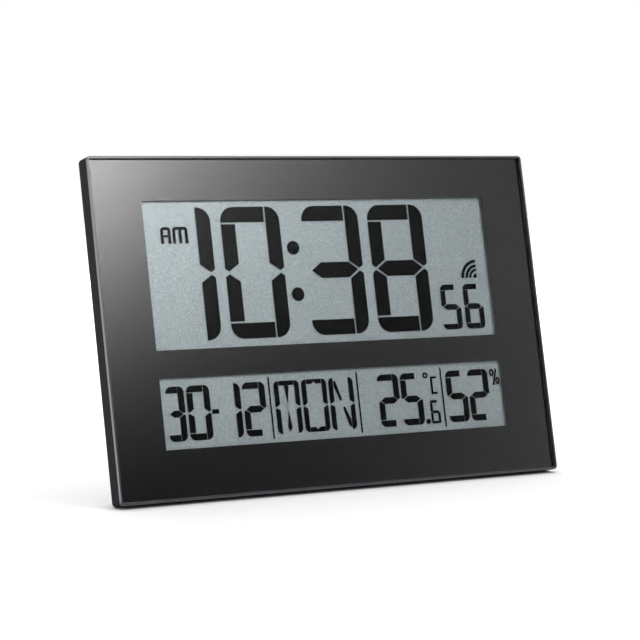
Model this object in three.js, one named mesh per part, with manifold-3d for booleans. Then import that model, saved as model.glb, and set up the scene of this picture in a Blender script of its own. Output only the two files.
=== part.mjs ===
// Radio-controlled wall clock, standing on its fold-out leg.
// Millimetres, +Z up, front towards -Y, origin on the floor under the middle of the footprint.
//
// Every piece is drawn in the frame of the face: x to the right, y up the face, z out of the face,
// with z = 0 on the front of the rim and y = 0 half way up. One group then leans the whole clock back.
import * as THREE from 'three';
import { mergeVertices } from 'three/addons/utils/BufferGeometryUtils.js';
import Module from 'manifold-3d';

const wasm = await Module();
wasm.setup();

// Driving sizes
const windowWidth = 289.2;
const timeWindowHeight = 107.05;
const calendarWindowHeight = 50.5;
const windowBar = 19.95;
const sideMargin = 40.4;
const topMargin = 32.2;
const bottomMargin = 36.3;
const leanDegrees = 12.4;
const standDegrees = 23.6;
const fit = 0.3;
const overrun = 5;

// Values of the pieces
const rim = { chamfer: 1.2, land: 0.8, edge: 0.4, corner: 3, innerCorner: 1, groove: 0.8, grooveDepth: 1 };
const lens = { recess: 1.4, thick: 1.3, corner: 0.8 };
const mask = { thick: 0.2 };
const plate = { thick: 2.5 };
const cell = { side: 4, edge: 3.5, ledge: 4.5, glass: 1.1, film: 0.15, ink: 0.1, reflector: 0.3 };
const strip = { wide: 2.2, short: 6 };
const displayBoard = { over: 2.4, thick: 1.2 };
const carrier = { inset: 20.4, edge: 5.5, web: 0.7, slotSide: 4, slotTall: 5 };
const carrierBoss = { radius: 3.5, inset: 6.6, heightShare: 0.57 };
const cover = { gap: 2.05, wall: 2, lip: 0.7, rearRound: 2, corner: 3, innerCorner: 1.4 };
const housing = { top: 92, bottom: -108, corner: 8, chamfer: 1.5, innerCorner: 6 };
const coverScrew = { inset: 11, head: 2.7, headTall: 1.6, shank: 1.3, length: 5.4 };
const coverBore = { radius: 3.5, sink: 2.2, tube: 4.5 };
const frameBoss = { radius: 3.5, stop: 2.3 };
const smallScrew = { head: 2.5, headTall: 1.5, shank: 1.2, tipCover: 0.6 };
const keyhole = { inset: 33, down: 20, head: 4.75, slot: 2.3, rise: 9 };
const keyholePocket = { half: 8, up: 14, down: 8, depth: 7, wall: 1.5 };
const vent = { pitch: 3, wide: 1.4, long: 8.7, clear: 8.8 };
const hinge = { cover: 0.5, pin: 1.5, barrel: 3.5 };
const leg = { halfWidth: 35, thick: 4, reach: 125.5, corner: 5, rib: 1.2, ribWide: 2, ribInset: 6 };
const recess = { under: 1, above: 1.6, side: 0.5, wall: 2 };
const sole = { thick: 4, half: 2.5, inset: 2 };
const battery = { radius: 7.25, length: 50.5, nub: 2.75, nubTall: 1.3 };
const bay = { y: 20, between: 0.9, gap: 2.45, clear: 16.5, inset: 6, wall: 1.5, side: 0.9 };
const door = { thick: 2, tongue: 1, tongueThick: 1, lap: 6, over: 3, rib: 1.2, ribDeep: 0.5 };
const contact = { thick: 0.5, halfWidth: 6, halfTall: 5.5, tab: 1.5, tabThick: 0.5 };
const spring = { radius: 3, wall: 0.8, long: 5.3 };
const button = { radius: 3.7, sunk: 0.2, flange: 1.1, flangeThick: 1, travel: 0.8, pitchX: 22, pitchY: 17 };
const buttonField = { inset: 19, y: -5, edge: 8 };
const keypad = { thick: 1.5, dome: 2.4, domeRise: 0.3 };
const buttonBoard = { thick: 1.2, over: 5, post: 2.2 };
const board = { left: -50, right: 34, bottom: -62, top: 24, thick: 1.2, stand: 2.6, post: 3, inset: 4 };
const chip = { x: -10, y: -12, half: 8, thick: 1.5 };
const crystal = { x: 12, y: -34, radius: 1, length: 6 };
const capacitor = { x: -44, y: 4, radius: 3, tall: 4 };
const sensor = { side: 6, up: 12, half: 2.5, thick: 2 };
const antenna = { x: -5, down: 12, rod: 4, length: 60, coil: 5.5, coilLength: 30, clip: 4, clipHalf: 7 };
const lead = { radius: 0.6, lift: 2.2 };
const ribbon = { thick: 0.3, halfWide: 20, buttonHalfWide: 5 };

// Counts
const ventCount = 5;
const doorRibCount = 5;
const cornerSteps = 5;
const roundSides = 18;
const smallSides = 10;
const leadSides = 8;
const leadSteps = 14;
const readoutSteps = 4;

// Outlines of the readout, as shares of the window that shows it
const barShares = { round: 0.92, gap: 0.115, tip: 0.27, slope: 0.667, tipGap: 0.088 };
const middleShares = { tip: 0.39, corner: 1.09, half: 0.515 };
const bigDigitShares = { bottom: 0.0546, width: 0.1674, height: 0.9014, thick: 0.1065 };
const smallDigitShares = { bottom: 0.0528, width: 0.0591, height: 0.3223, thick: 0.0392 };
const dateDigitShares = { bottom: 0.111, width: 0.0629, height: 0.7743, thick: 0.0941 };
const tensDigitShares = { bottom: 0.111, width: 0.0491, height: 0.7743, thick: 0.0941 };
const tenthDigitShares = { bottom: 0.109, width: 0.0287, height: 0.3505, thick: 0.0386 };
const letterShares = { bottom: 0.1168, width: 0.0719, height: 0.7624, thick: 0.0752 };
const colonShares = { x: 0.4148, low: 0.3442, high: 0.6665, radius: 0.0476 };
const pointShares = { x: 0.761, y: 0.1307, radius: 0.0396 };
const noonShares = { y: 0.7133, tall: 0.113, stroke: 0.0182 };
const noonLetterShares = { aLeft: 0.0462, aWide: 0.0277, mLeft: 0.0791, mWide: 0.0415 };
const waveShares = {
  x: 0.9626,
  y: 0.419,
  outer: [0.1289, 0.0934, 0.0635, 0.0299],
  inner: [0.1102, 0.0766, 0.0495],
};
const dashShares = { left: 0.1379, width: 0.0187, y: 0.501, tall: 0.0653 };
const ruleShares = { x: [0.3028, 0.5587, 0.8135], width: 0.0041, bottom: 0.0535, top: 0.9426 };
const degreeShares = { x: 0.7655, y: 0.8376, radius: 0.0446, stroke: 0.0218 };
const celsiusShares = { left: 0.78, width: 0.0183, bottom: 0.5485, tall: 0.2653, stroke: 0.0277 };
const percentShares = {
  stroke: 0.0198,
  tall: 0.0545,
  wide: [0.0396, 0.032],
  x: [0.9729, 0.9899],
  y: [0.8218, 0.695],
};
const slashShares = { x: [0.974, 0.9869], y: [0.63, 0.877] };
const timeLeftShares = { one: 0.0189, zero: 0.2153, three: 0.4473, eight: 0.6434, five: 0.8422, six: 0.9135 };
const dateLeftShares = { three: 0.0158, zero: 0.0718, one: 0.1569, two: 0.2267 };
const dayLeftShares = [0.3159, 0.3955, 0.4736];
const warmthLeftShares = { two: 0.6182, five: 0.6877, tenths: 0.7713 };
const dampLeftShares = { five: 0.8274, two: 0.8965 };
const kiteShares = { top: 0.03, wide: 0.135, half: 0.09, end: 0.42 };
const diagonalShares = { start: 0.115, end: 0.415, edge: 0.02, wide: 0.06, reach: 0.27 };

// Places that follow from the sizes
const faceHalfWidth = windowWidth / 2 + sideMargin;
const faceHalfHeight = (topMargin + timeWindowHeight + windowBar + calendarWindowHeight + bottomMargin) / 2;
const timeWindow = windowBox(faceHalfHeight - topMargin, timeWindowHeight);
const calendarWindow = windowBox(timeWindow.bottom - windowBar, calendarWindowHeight);
const rimWidth = rim.chamfer + rim.land;
const lean = THREE.MathUtils.degToRad(leanDegrees);
const openAngle = THREE.MathUtils.degToRad(standDegrees);
const legTilt = openAngle - lean;

const lensFront = -lens.recess;
const lensBack = lensFront - lens.thick;
const maskFront = lensBack - fit;
const maskBack = maskFront - mask.thick;
const glassFront = maskBack - fit;
const glassBack = glassFront - cell.glass;
const filmFront = glassBack - fit - cell.ink;
const filmBack = filmFront - cell.film;
const rearGlassFront = filmBack - fit;
const rearGlassBack = rearGlassFront - cell.glass;
const reflectorFront = rearGlassBack - fit;
const reflectorBack = reflectorFront - cell.reflector;
const plateBack = glassFront - plate.thick;
const plateMiddle = glassFront - plate.thick / 2;
const carrierFront = reflectorBack - fit;
const carrierBack = carrierFront - displayBoard.thick - fit - carrier.web;
const boardFront = carrierBack - board.stand - fit;
const boardBack = boardFront - board.thick;

const parting = -(rim.chamfer + rim.edge);
const coverFront = parting - rim.groove;
const backInside = carrierBack - fit - smallScrew.headTall - cover.gap;
const backOutside = backInside - cover.wall;

const bayFloor = carrierBack - bay.gap - bay.wall;
const batteryZ = bayFloor - fit - battery.radius;
const bayRear = batteryZ - battery.radius - fit;
const doorInside = bayRear - fit;
const housingOutside = doorInside - door.thick;
const housingInside = housingOutside + cover.wall;
const bayPitch = 2 * battery.radius + bay.between;
const bayHalf = bayPitch / 2 + battery.radius + bay.side;
const batteryRows = [bay.y + bayPitch / 2, bay.y - bayPitch / 2];

const hingeZ = housingOutside + hinge.cover + hinge.barrel;
const recessFloor = hingeZ + hinge.barrel + recess.under;
const recessHalf = leg.halfWidth + recess.side;
const recessOutside = recessHalf + recess.wall;

// The lowest line of the cover is a narrow flat under its rear edge, level when the clock leans back.
// The hinge is as far up the back as the open leg needs to stand on the same floor.
const floorLevel = -faceHalfHeight * Math.cos(lean) + (backOutside + cover.rearRound) * Math.sin(lean);
const hingeHeight = leg.reach * Math.cos(legTilt);
const hingeY = (hingeHeight + floorLevel - hingeZ * Math.sin(lean)) / Math.cos(lean);
// The leg ends above its hinge in a heel that stops the open leg on the floor of the recess.
const heel = (recessFloor - hingeZ - fit - (leg.thick / 2) * Math.cos(openAngle)) / Math.sin(openAngle);
const recessTop = hingeY + Math.max(heel, hinge.barrel) + recess.above;

const bayStart = recessOutside + bay.clear;
const bayEnd = bayStart + battery.length + spring.long + 2 * contact.thick + 4 * fit;
const housingHalf = bayEnd + bay.inset;
const doorStart = bayStart - door.lap;
const keyholeX = housingHalf - keyhole.inset;
const keyholeY = housing.top - keyhole.down;
const buttonFieldX = buttonField.inset - housingHalf;
const ventEnd = -(recessOutside + vent.clear);
const flangeRear = housingInside + fit;
const flangeFront = flangeRear + button.flangeThick;
const keypadRear = flangeFront + button.travel + fit + keypad.domeRise;
const keypadFront = keypadRear + keypad.thick;
const buttonBoardRear = keypadFront + fit;
const buttonBoardFront = buttonBoardRear + buttonBoard.thick;
const flangeRadius = button.radius + button.flange;
const antennaY = housing.top - antenna.down;
const antennaZ = (housingInside + carrierBack) / 2;
const sensorX = board.left + sensor.side;
const sensorY = board.bottom + sensor.up;

const timeZebra = timeWindow.bottom - cell.edge - cell.ledge / 2;
const calendarZebra = calendarWindow.top + cell.edge + cell.ledge / 2;
const displayBoardFront = carrierFront;
const displayBoardBack = displayBoardFront - displayBoard.thick;
const displayBoardHalf = windowWidth / 2 - strip.short + displayBoard.over;
const displayBoardRows = [
  calendarZebra - strip.wide / 2 - displayBoard.over,
  timeZebra + strip.wide / 2 + displayBoard.over,
];
const displayBoardMiddle = (timeZebra + calendarZebra) / 2;
const cellSides = [-windowWidth / 2 - cell.side, windowWidth / 2 + cell.side];
const timeRear = { x: cellSides, y: [timeWindow.bottom - cell.edge, timeWindow.top + cell.edge] };
const timeGlass = { x: cellSides, y: [timeRear.y[0] - cell.ledge, timeRear.y[1]] };
const calendarRear = { x: cellSides, y: [calendarWindow.bottom - cell.edge, calendarWindow.top + cell.edge] };
const calendarGlass = { x: cellSides, y: [calendarRear.y[0], calendarRear.y[1] + cell.ledge] };
const carrierHalfWidth = faceHalfWidth - carrier.inset;

const bossBack = backInside + frameBoss.stop;
const coverScrewSeat = backOutside + coverBore.sink - fit;
const coverShankTip = coverScrewSeat + coverScrew.length;
const carrierShankTip = plateBack + smallScrew.tipCover;
const boardShankTip = carrierBack - smallScrew.tipCover;
const doorHalf = bayHalf + door.over;
const leftPlate = bayStart + fit;
const rightPlate = bayEnd - fit - contact.thick;
const roundSplit = lean / (Math.PI / 4);

const buttonNames = ['set', 'up', 'down', 'wave', 'zone', 'unit'];
const buttonPlaces = buttonNames.map((name, index) => {
  const column = index % 2;
  const row = Math.floor(index / 2);
  return { name, x: buttonFieldX + column * button.pitchX, y: buttonField.y + row * button.pitchY };
});
const buttonSheet = {
  x: [buttonFieldX - buttonField.edge, buttonFieldX + button.pitchX + buttonField.edge],
  y: [buttonField.y - buttonField.edge, buttonField.y + 2 * button.pitchY + buttonField.edge],
};
const buttonPostPlaces = [0, 1].flatMap((side) => [0, 1].map((end) => [
  buttonSheet.x[side] + (side - 1 / 2) * buttonBoard.over,
  buttonSheet.y[end] + (end - 1 / 2) * buttonBoard.over,
]));
const screwPlaces = [-1, 1].flatMap((side) => [-1, 0, 1].map((level) => [
  side * (faceHalfWidth - coverScrew.inset),
  level * (faceHalfHeight - coverScrew.inset),
]));
const carrierScrewPlaces = [-1, 1].flatMap((side) => [-1, 1].map((level) => [
  side * (carrierHalfWidth - carrierBoss.inset),
  level * carrierBoss.heightShare * faceHalfHeight,
]));
const boardPostPlaces = [
  [board.left + board.inset, board.bottom + board.inset],
  [board.right - board.inset, board.bottom + board.inset],
  [board.left + board.inset, board.top - board.inset],
  [board.right - board.inset, board.top - board.inset],
];

// Solids

function windowBox(top, height) {
  const right = windowWidth / 2;
  return { left: -right, right, top, bottom: top - height, width: windowWidth, height };
}

function solid(geometry) {
  geometry.deleteAttribute('normal');
  geometry.deleteAttribute('uv');
  const merged = mergeVertices(geometry);
  const vertProperties = new Float32Array(merged.attributes.position.array);
  const triVerts = new Uint32Array(merged.index.array);
  return new wasm.Manifold(new wasm.Mesh({ numProp: 3, vertProperties, triVerts }));
}

function slab(x, y, z) {
  const geometry = new THREE.BoxGeometry(x[1] - x[0], y[1] - y[0], z[1] - z[0]);
  geometry.translate((x[0] + x[1]) / 2, (y[0] + y[1]) / 2, (z[0] + z[1]) / 2);
  return solid(geometry);
}

function prism(shape, z, curveSegments = cornerSteps) {
  const depth = z[1] - z[0];
  const geometry = new THREE.ExtrudeGeometry(shape, { depth, bevelEnabled: false, curveSegments });
  geometry.translate(0, 0, z[0]);
  return solid(geometry);
}

function rodAlongZ(radius, x, y, z, sides = smallSides) {
  const geometry = new THREE.CylinderGeometry(radius, radius, z[1] - z[0], sides);
  geometry.rotateX(Math.PI / 2);
  geometry.translate(x, y, (z[0] + z[1]) / 2);
  return solid(geometry);
}

function rodAlongX(radius, x, y, z, sides = roundSides) {
  const geometry = new THREE.CylinderGeometry(radius, radius, x[1] - x[0], sides);
  geometry.rotateZ(Math.PI / 2);
  geometry.translate((x[0] + x[1]) / 2, y, z);
  return solid(geometry);
}

function alongX(points, x) {
  // A closed outline of [y, z] points, carried along X.
  const shape = new THREE.Shape(points.map(([y, z]) => new THREE.Vector2(-z, y)));
  const geometry = new THREE.ExtrudeGeometry(shape, { depth: x[1] - x[0], bevelEnabled: false });
  geometry.rotateY(Math.PI / 2);
  geometry.translate(x[0], 0, 0);
  return solid(geometry);
}

function join(first, ...others) {
  return others.reduce((whole, next) => whole.add(next), first);
}

function cut(first, ...others) {
  return others.reduce((whole, next) => whole.subtract(next), first);
}

function roundedRing(halfWidth, halfHeight, radius) {
  const points = [];
  const turns = [[1, -1, -1], [1, 1, 0], [-1, 1, 1], [-1, -1, 2]];
  for (const [sideX, sideY, quarter] of turns) {
    for (let step = 0; step <= cornerSteps; step += 1) {
      const angle = (quarter + step / cornerSteps) * (Math.PI / 2);
      points.push([
        sideX * (halfWidth - radius) + radius * Math.cos(angle),
        sideY * (halfHeight - radius) + radius * Math.sin(angle),
      ]);
    }
  }
  return points;
}

function stack(rings) {
  // Rounded rectangles from back to front, joined by straight sides. The middle of each is at height y.
  const positions = [];
  const index = [];
  const count = roundedRing(1, 1, 0).length;
  for (const ring of rings) {
    for (const [x, y] of roundedRing(ring.halfWidth, ring.halfHeight, ring.radius)) {
      positions.push(x, y + (ring.y ?? 0), ring.z);
    }
  }
  for (let level = 0; level + 1 < rings.length; level += 1) {
    for (let i = 0; i < count; i += 1) {
      const next = (i + 1) % count;
      const here = level * count;
      const above = here + count;
      index.push(here + i, here + next, above + next, here + i, above + next, above + i);
    }
  }
  const last = (rings.length - 1) * count;
  for (let i = 1; i + 1 < count; i += 1) {
    index.push(0, i + 1, i, last, last + i, last + i + 1);
  }
  const geometry = new THREE.BufferGeometry();
  geometry.setAttribute('position', new THREE.Float32BufferAttribute(positions, 3));
  geometry.setIndex(index);
  return solid(geometry);
}

function faceSlab(inset, radius, z) {
  const halfWidth = faceHalfWidth - inset;
  const halfHeight = faceHalfHeight - inset;
  return stack(z.map((level) => ({ halfWidth, halfHeight, radius, z: level })));
}

function tube(points, radius) {
  const section = new THREE.Shape();
  section.absarc(0, 0, radius, 0, 2 * Math.PI);
  const route = new THREE.CatmullRomCurve3(points.map((point) => new THREE.Vector3(...point)));
  return solid(new THREE.ExtrudeGeometry(section, {
    steps: leadSteps,
    curveSegments: leadSides / 2,
    extrudePath: route,
  }));
}

function piece(group, name, body, look) {
  const { vertProperties, triVerts } = body.getMesh();
  const geometry = new THREE.BufferGeometry();
  geometry.setAttribute('position', new THREE.BufferAttribute(vertProperties, 3));
  geometry.setIndex(new THREE.BufferAttribute(triVerts, 1));
  const flat = geometry.toNonIndexed();
  flat.computeVertexNormals();
  const [color, roughness, metalness] = look;
  const mesh = new THREE.Mesh(flat, new THREE.MeshStandardMaterial({ color, roughness, metalness }));
  mesh.name = name;
  group.add(mesh);
  return mesh;
}

// Colour, roughness and metalness
const looks = {
  black: [0x1c1d1f, 0.45, 0],
  glossBlack: [0x0b0c0d, 0.12, 0],
  clear: [0x2a3033, 0.05, 0],
  glass: [0xb9c3c1, 0.08, 0],
  ink: [0x0d0f10, 0.5, 0],
  reflector: [0xa3aba7, 0.6, 0],
  carrier: [0xd9dad6, 0.6, 0],
  board: [0x1f5a3a, 0.5, 0],
  chip: [0x141414, 0.4, 0],
  rubber: [0x3a3d42, 0.8, 0],
  paleRubber: [0xb8bcc0, 0.8, 0],
  steel: [0xb9bdc1, 0.3, 1],
  darkSteel: [0x55585c, 0.35, 1],
  copper: [0xb5683a, 0.35, 1],
  ferrite: [0x3b3a3c, 0.7, 0],
  batteryCase: [0x2f4e86, 0.35, 0.2],
  red: [0xb3211c, 0.5, 0],
  wire: [0x17181a, 0.5, 0],
};

// Readout

function shapeOf(points) {
  return new THREE.Shape(points.map(([x, y]) => new THREE.Vector2(x, y)));
}

function arc(x, y, radiusX, radiusY, from, to) {
  // Points of a round stretch, from and to in quarter turns.
  const points = [];
  for (let step = 0; step <= readoutSteps; step += 1) {
    const angle = (from + (to - from) * (step / readoutSteps)) * (Math.PI / 2);
    points.push([x + radiusX * Math.cos(angle), y + radiusY * Math.sin(angle)]);
  }
  return points;
}

function glyphBox(view, left, shares) {
  const thick = shares.thick * view.height;
  return {
    left: view.left + left * view.width,
    bottom: view.bottom + shares.bottom * view.height,
    width: shares.width * view.width,
    height: shares.height * view.height,
    thick,
    round: barShares.round * thick,
    gap: barShares.gap * thick,
  };
}

function place(box, side, level, points) {
  // Points measured inwards from one side and outwards from mid height.
  const middle = box.bottom + box.height / 2;
  const edge = side > 0 ? box.left + box.width : box.left;
  return shapeOf(points.map(([u, v]) => [edge - side * u, middle + level * v]));
}

function upright(box, side, level, square) {
  const tip = barShares.tip * box.thick;
  const tipGap = barShares.tipGap * box.thick;
  const end = box.height / 2;
  const outerEnd = square
    ? [[0, end - box.thick - box.gap], [box.thick, end - box.thick - box.gap]]
    : [...arc(box.round, end - box.round, box.round, box.round, 2, 1), [box.thick, end]];
  return place(box, side, level, [
    [box.thick, tipGap + (box.thick - tip) * barShares.slope],
    [tip, tipGap],
    [0, tipGap + tip * barShares.slope],
    ...outerEnd,
  ]);
}

function endBar(box, level) {
  const end = box.height / 2;
  const stop = box.width - box.thick - box.gap;
  return place(box, -1, level, [
    [0, end - box.thick],
    ...arc(box.round, end - box.round, box.round, box.round, 2, 1),
    [stop, end],
    [stop, end - box.thick],
  ]);
}

function middleBar(box) {
  const tip = middleShares.tip * box.thick;
  const corner = middleShares.corner * box.thick;
  const half = middleShares.half * box.thick;
  return place(box, -1, 1, [
    [tip, 0],
    [corner, -half],
    [box.width - corner, -half],
    [box.width - tip, 0],
    [box.width - corner, half],
    [corner, half],
  ]);
}

const bars = {
  a: (box) => endBar(box, 1),
  b: (box) => upright(box, 1, 1, false),
  c: (box) => upright(box, 1, -1, false),
  d: (box) => endBar(box, -1),
  e: (box) => upright(box, -1, -1, true),
  f: (box) => upright(box, -1, 1, true),
  g: (box) => middleBar(box),
};
const litBars = { 0: 'abcdef', 1: 'bc', 2: 'abged', 3: 'abgcd', 5: 'afgcd', 6: 'afgedc', 8: 'abcdefg' };

function digit(view, value, left, shares) {
  const box = glyphBox(view, left, shares);
  return [...litBars[value]].map((bar) => bars[bar](box));
}

function block(view, left, bottom, width, height) {
  const x = view.left + left * view.width;
  const y = view.bottom + bottom * view.height;
  return shapeOf([[x, y], [x + width, y], [x + width, y + height], [x, y + height]]);
}

function dot(view, x, y, radius) {
  const centre = [view.left + x * view.width, view.bottom + y * view.height];
  const shape = new THREE.Shape();
  shape.absarc(...centre, radius * view.height, 0, 2 * Math.PI);
  return shape;
}

function loop(view, x, y, wide, tall, stroke) {
  const centre = [view.left + x * view.width, view.bottom + y * view.height];
  const shape = new THREE.Shape();
  shape.absellipse(...centre, wide * view.height, tall * view.height, 0, 2 * Math.PI);
  const hole = new THREE.Path();
  hole.absellipse(...centre, (wide - stroke) * view.height, (tall - stroke) * view.height, 0, 2 * Math.PI);
  shape.holes.push(hole);
  return shape;
}

function noonMark(view) {
  const stroke = noonShares.stroke * view.height;
  const tall = noonShares.tall * view.height;
  const letter = (left, wide, stems) => {
    const width = wide * view.width;
    const step = (width - stroke) / (stems - 1);
    const top = noonShares.y + noonShares.tall - noonShares.stroke;
    const shapes = [block(view, left, top, width, stroke)];
    for (let stem = 0; stem < stems; stem += 1) {
      shapes.push(block(view, left + (stem * step) / view.width, noonShares.y, stroke, tall));
    }
    return shapes;
  };
  const { aLeft, aWide, mLeft, mWide } = noonLetterShares;
  const middle = noonShares.y + noonShares.tall / 2 - noonShares.stroke;
  const crossbar = block(view, aLeft, middle, aWide * view.width, stroke);
  return [...letter(aLeft, aWide, 2), crossbar, ...letter(mLeft, mWide, 3)];
}

function waveMark(view) {
  const x = view.left + waveShares.x * view.width;
  const y = view.bottom + waveShares.y * view.height;
  return waveShares.outer.map((share, index) => {
    const outer = share * view.height;
    const inner = (waveShares.inner[index] ?? 0) * view.height;
    const hollow = inner > 0 ? arc(x, y, inner, inner, 2, 1) : [[x, y]];
    return shapeOf([...arc(x, y, outer, outer, 1, 2), ...hollow]);
  });
}

function kite(box, level) {
  const end = box.height / 2;
  const half = kiteShares.half * box.width;
  return place(box, -1, level, [
    [box.width / 2, end * (1 - kiteShares.top) - box.thick / 2],
    [box.width / 2 + half, end * (1 - kiteShares.wide * 2)],
    [box.width / 2, end * (1 - kiteShares.end * 2)],
    [box.width / 2 - half, end * (1 - kiteShares.wide * 2)],
  ]);
}

function diagonal(box, side, level) {
  const end = box.height / 2;
  const from = box.thick + diagonalShares.edge * box.width;
  const wide = diagonalShares.wide * box.width;
  const reach = diagonalShares.reach * box.width;
  const near = end * (1 - diagonalShares.start);
  const far = end * (1 - 2 * diagonalShares.end);
  return place(box, side, level, [
    [from, near],
    [from + wide, near],
    [from + reach, far + wide],
    [from + reach, far],
    [from + reach - wide, far],
    [from, near - 2 * wide],
  ]);
}

function letterEnd(box, level) {
  const end = box.height / 2;
  const inner = box.thick + box.gap;
  return place(box, -1, level, [
    [inner, end],
    [box.width - inner, end],
    [box.width - inner, end - box.thick],
    [inner, end - box.thick],
  ]);
}

function dayLetters(view) {
  const box = (index) => glyphBox(view, dayLeftShares[index], letterShares);
  const corners = [[-1, -1], [-1, 1], [1, -1], [1, 1]];
  const sides = (index) => corners.map(([side, level]) => upright(box(index), side, level, false));
  return [
    ...sides(0),
    letterEnd(box(0), 1),
    kite(box(0), 1),
    kite(box(0), -1),
    ...sides(1),
    letterEnd(box(1), 1),
    letterEnd(box(1), -1),
    ...sides(2),
    diagonal(box(2), -1, 1),
    diagonal(box(2), 1, -1),
  ];
}

function timeReadout(view) {
  return [
    ...noonMark(view),
    ...digit(view, 1, timeLeftShares.one, bigDigitShares),
    ...digit(view, 0, timeLeftShares.zero, bigDigitShares),
    dot(view, colonShares.x, colonShares.low, colonShares.radius),
    dot(view, colonShares.x, colonShares.high, colonShares.radius),
    ...digit(view, 3, timeLeftShares.three, bigDigitShares),
    ...digit(view, 8, timeLeftShares.eight, bigDigitShares),
    ...waveMark(view),
    ...digit(view, 5, timeLeftShares.five, smallDigitShares),
    ...digit(view, 6, timeLeftShares.six, smallDigitShares),
  ];
}

function calendarReadout(view) {
  const ruleTall = (ruleShares.top - ruleShares.bottom) * view.height;
  const rules = ruleShares.x.map((x) => block(view, x - ruleShares.width / 2, ruleShares.bottom,
    ruleShares.width * view.width, ruleTall));
  const dash = block(view, dashShares.left, dashShares.y - dashShares.tall / 2,
    dashShares.width * view.width, dashShares.tall * view.height);
  const [low, high] = slashShares.x.map((x, index) => [
    view.left + x * view.width,
    view.bottom + slashShares.y[index] * view.height,
  ]);
  const slashWide = percentShares.stroke * view.height;
  return [
    ...digit(view, 3, dateLeftShares.three, tensDigitShares),
    ...digit(view, 0, dateLeftShares.zero, dateDigitShares),
    dash,
    ...digit(view, 1, dateLeftShares.one, dateDigitShares),
    ...digit(view, 2, dateLeftShares.two, dateDigitShares),
    ...dayLetters(view),
    ...digit(view, 2, warmthLeftShares.two, dateDigitShares),
    ...digit(view, 5, warmthLeftShares.five, dateDigitShares),
    dot(view, pointShares.x, pointShares.y, pointShares.radius),
    ...digit(view, 6, warmthLeftShares.tenths, tenthDigitShares),
    loop(view, degreeShares.x, degreeShares.y, degreeShares.radius, degreeShares.radius, degreeShares.stroke),
    ...celsiusMark(view),
    ...rules,
    ...digit(view, 5, dampLeftShares.five, dateDigitShares),
    ...digit(view, 2, dampLeftShares.two, dateDigitShares),
    ...percentShares.x.map((x, index) => loop(view, x, percentShares.y[index], percentShares.wide[index],
      percentShares.tall, percentShares.stroke)),
    shapeOf([low, [low[0] + slashWide, low[1]], [high[0] + slashWide, high[1]], high]),
  ];
}

function celsiusMark(view) {
  const stroke = celsiusShares.stroke * view.height;
  const width = celsiusShares.width * view.width;
  const top = celsiusShares.bottom + celsiusShares.tall - celsiusShares.stroke;
  return [
    block(view, celsiusShares.left, celsiusShares.bottom, stroke, celsiusShares.tall * view.height),
    block(view, celsiusShares.left, celsiusShares.bottom, width, stroke),
    block(view, celsiusShares.left, top, width, stroke),
  ];
}

// Front

function frontFrame() {
  const body = join(
    stack([
      { halfWidth: faceHalfWidth, halfHeight: faceHalfHeight, radius: rim.corner, z: parting },
      { halfWidth: faceHalfWidth, halfHeight: faceHalfHeight, radius: rim.corner, z: -rim.chamfer },
      {
        halfWidth: faceHalfWidth - rim.chamfer,
        halfHeight: faceHalfHeight - rim.chamfer,
        radius: rim.corner - rim.chamfer,
        z: 0,
      },
    ]),
    faceSlab(rim.grooveDepth, rim.corner - rim.grooveDepth, [plateBack, -rim.chamfer]),
    ...screwPlaces.map(([x, y]) => rodAlongZ(frameBoss.radius, x, y, [bossBack, plateMiddle])),
    ...carrierScrewPlaces.map(([x, y]) => rodAlongZ(
      carrierBoss.radius, x, y, [carrierFront + fit, plateMiddle],
    )),
  );
  const pocket = faceSlab(rimWidth, rim.innerCorner, [glassFront, overrun]);
  const openings = [timeGlass, calendarGlass].map((glass) => slab(
    [glass.x[0] - fit, glass.x[1] + fit],
    [glass.y[0] - fit, glass.y[1] + fit],
    [plateBack - overrun, overrun],
  ));
  const screwHoles = screwPlaces.map(([x, y]) => rodAlongZ(
    coverScrew.shank + fit, x, y, [bossBack - overrun, coverShankTip + fit],
  ));
  const carrierHoles = carrierScrewPlaces.map(([x, y]) => rodAlongZ(
    smallScrew.shank + fit, x, y, [plateBack - overrun, carrierShankTip + fit],
  ));
  return cut(body, pocket, ...openings, ...screwHoles, ...carrierHoles);
}

function frontLens() {
  return faceSlab(rimWidth + fit, lens.corner, [lensBack, lensFront]);
}

function lensMask() {
  const windows = [timeWindow, calendarWindow].map((view) => slab(
    [view.left, view.right],
    [view.bottom, view.top],
    [maskBack - overrun, maskFront + overrun],
  ));
  return cut(faceSlab(rimWidth + fit, lens.corner, [maskBack, maskFront]), ...windows);
}

// Display cells

function segmentSheet(rear, shapes) {
  const sheet = slab(rear.x, rear.y, [filmBack, filmFront]);
  return join(sheet, ...shapes.map((shape) => prism(shape, [filmBack, filmFront + cell.ink], readoutSteps)));
}

function addCell(group, prefix, front, rear, shapes) {
  piece(group, `${prefix}_lcd_front_glass`, slab(front.x, front.y, [glassBack, glassFront]), looks.glass);
  piece(group, `${prefix}_lcd_segments`, segmentSheet(rear, shapes), looks.ink);
  const rearGlass = slab(rear.x, rear.y, [rearGlassBack, rearGlassFront]);
  piece(group, `${prefix}_lcd_rear_glass`, rearGlass, looks.glass);
  const reflector = slab(rear.x, rear.y, [reflectorBack, reflectorFront]);
  piece(group, `${prefix}_lcd_reflector`, reflector, looks.reflector);
}

function zebraStrip(y) {
  return slab(
    [-windowWidth / 2 + strip.short, windowWidth / 2 - strip.short],
    [y - strip.wide / 2, y + strip.wide / 2],
    [displayBoardFront + fit, glassBack - fit],
  );
}

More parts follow.
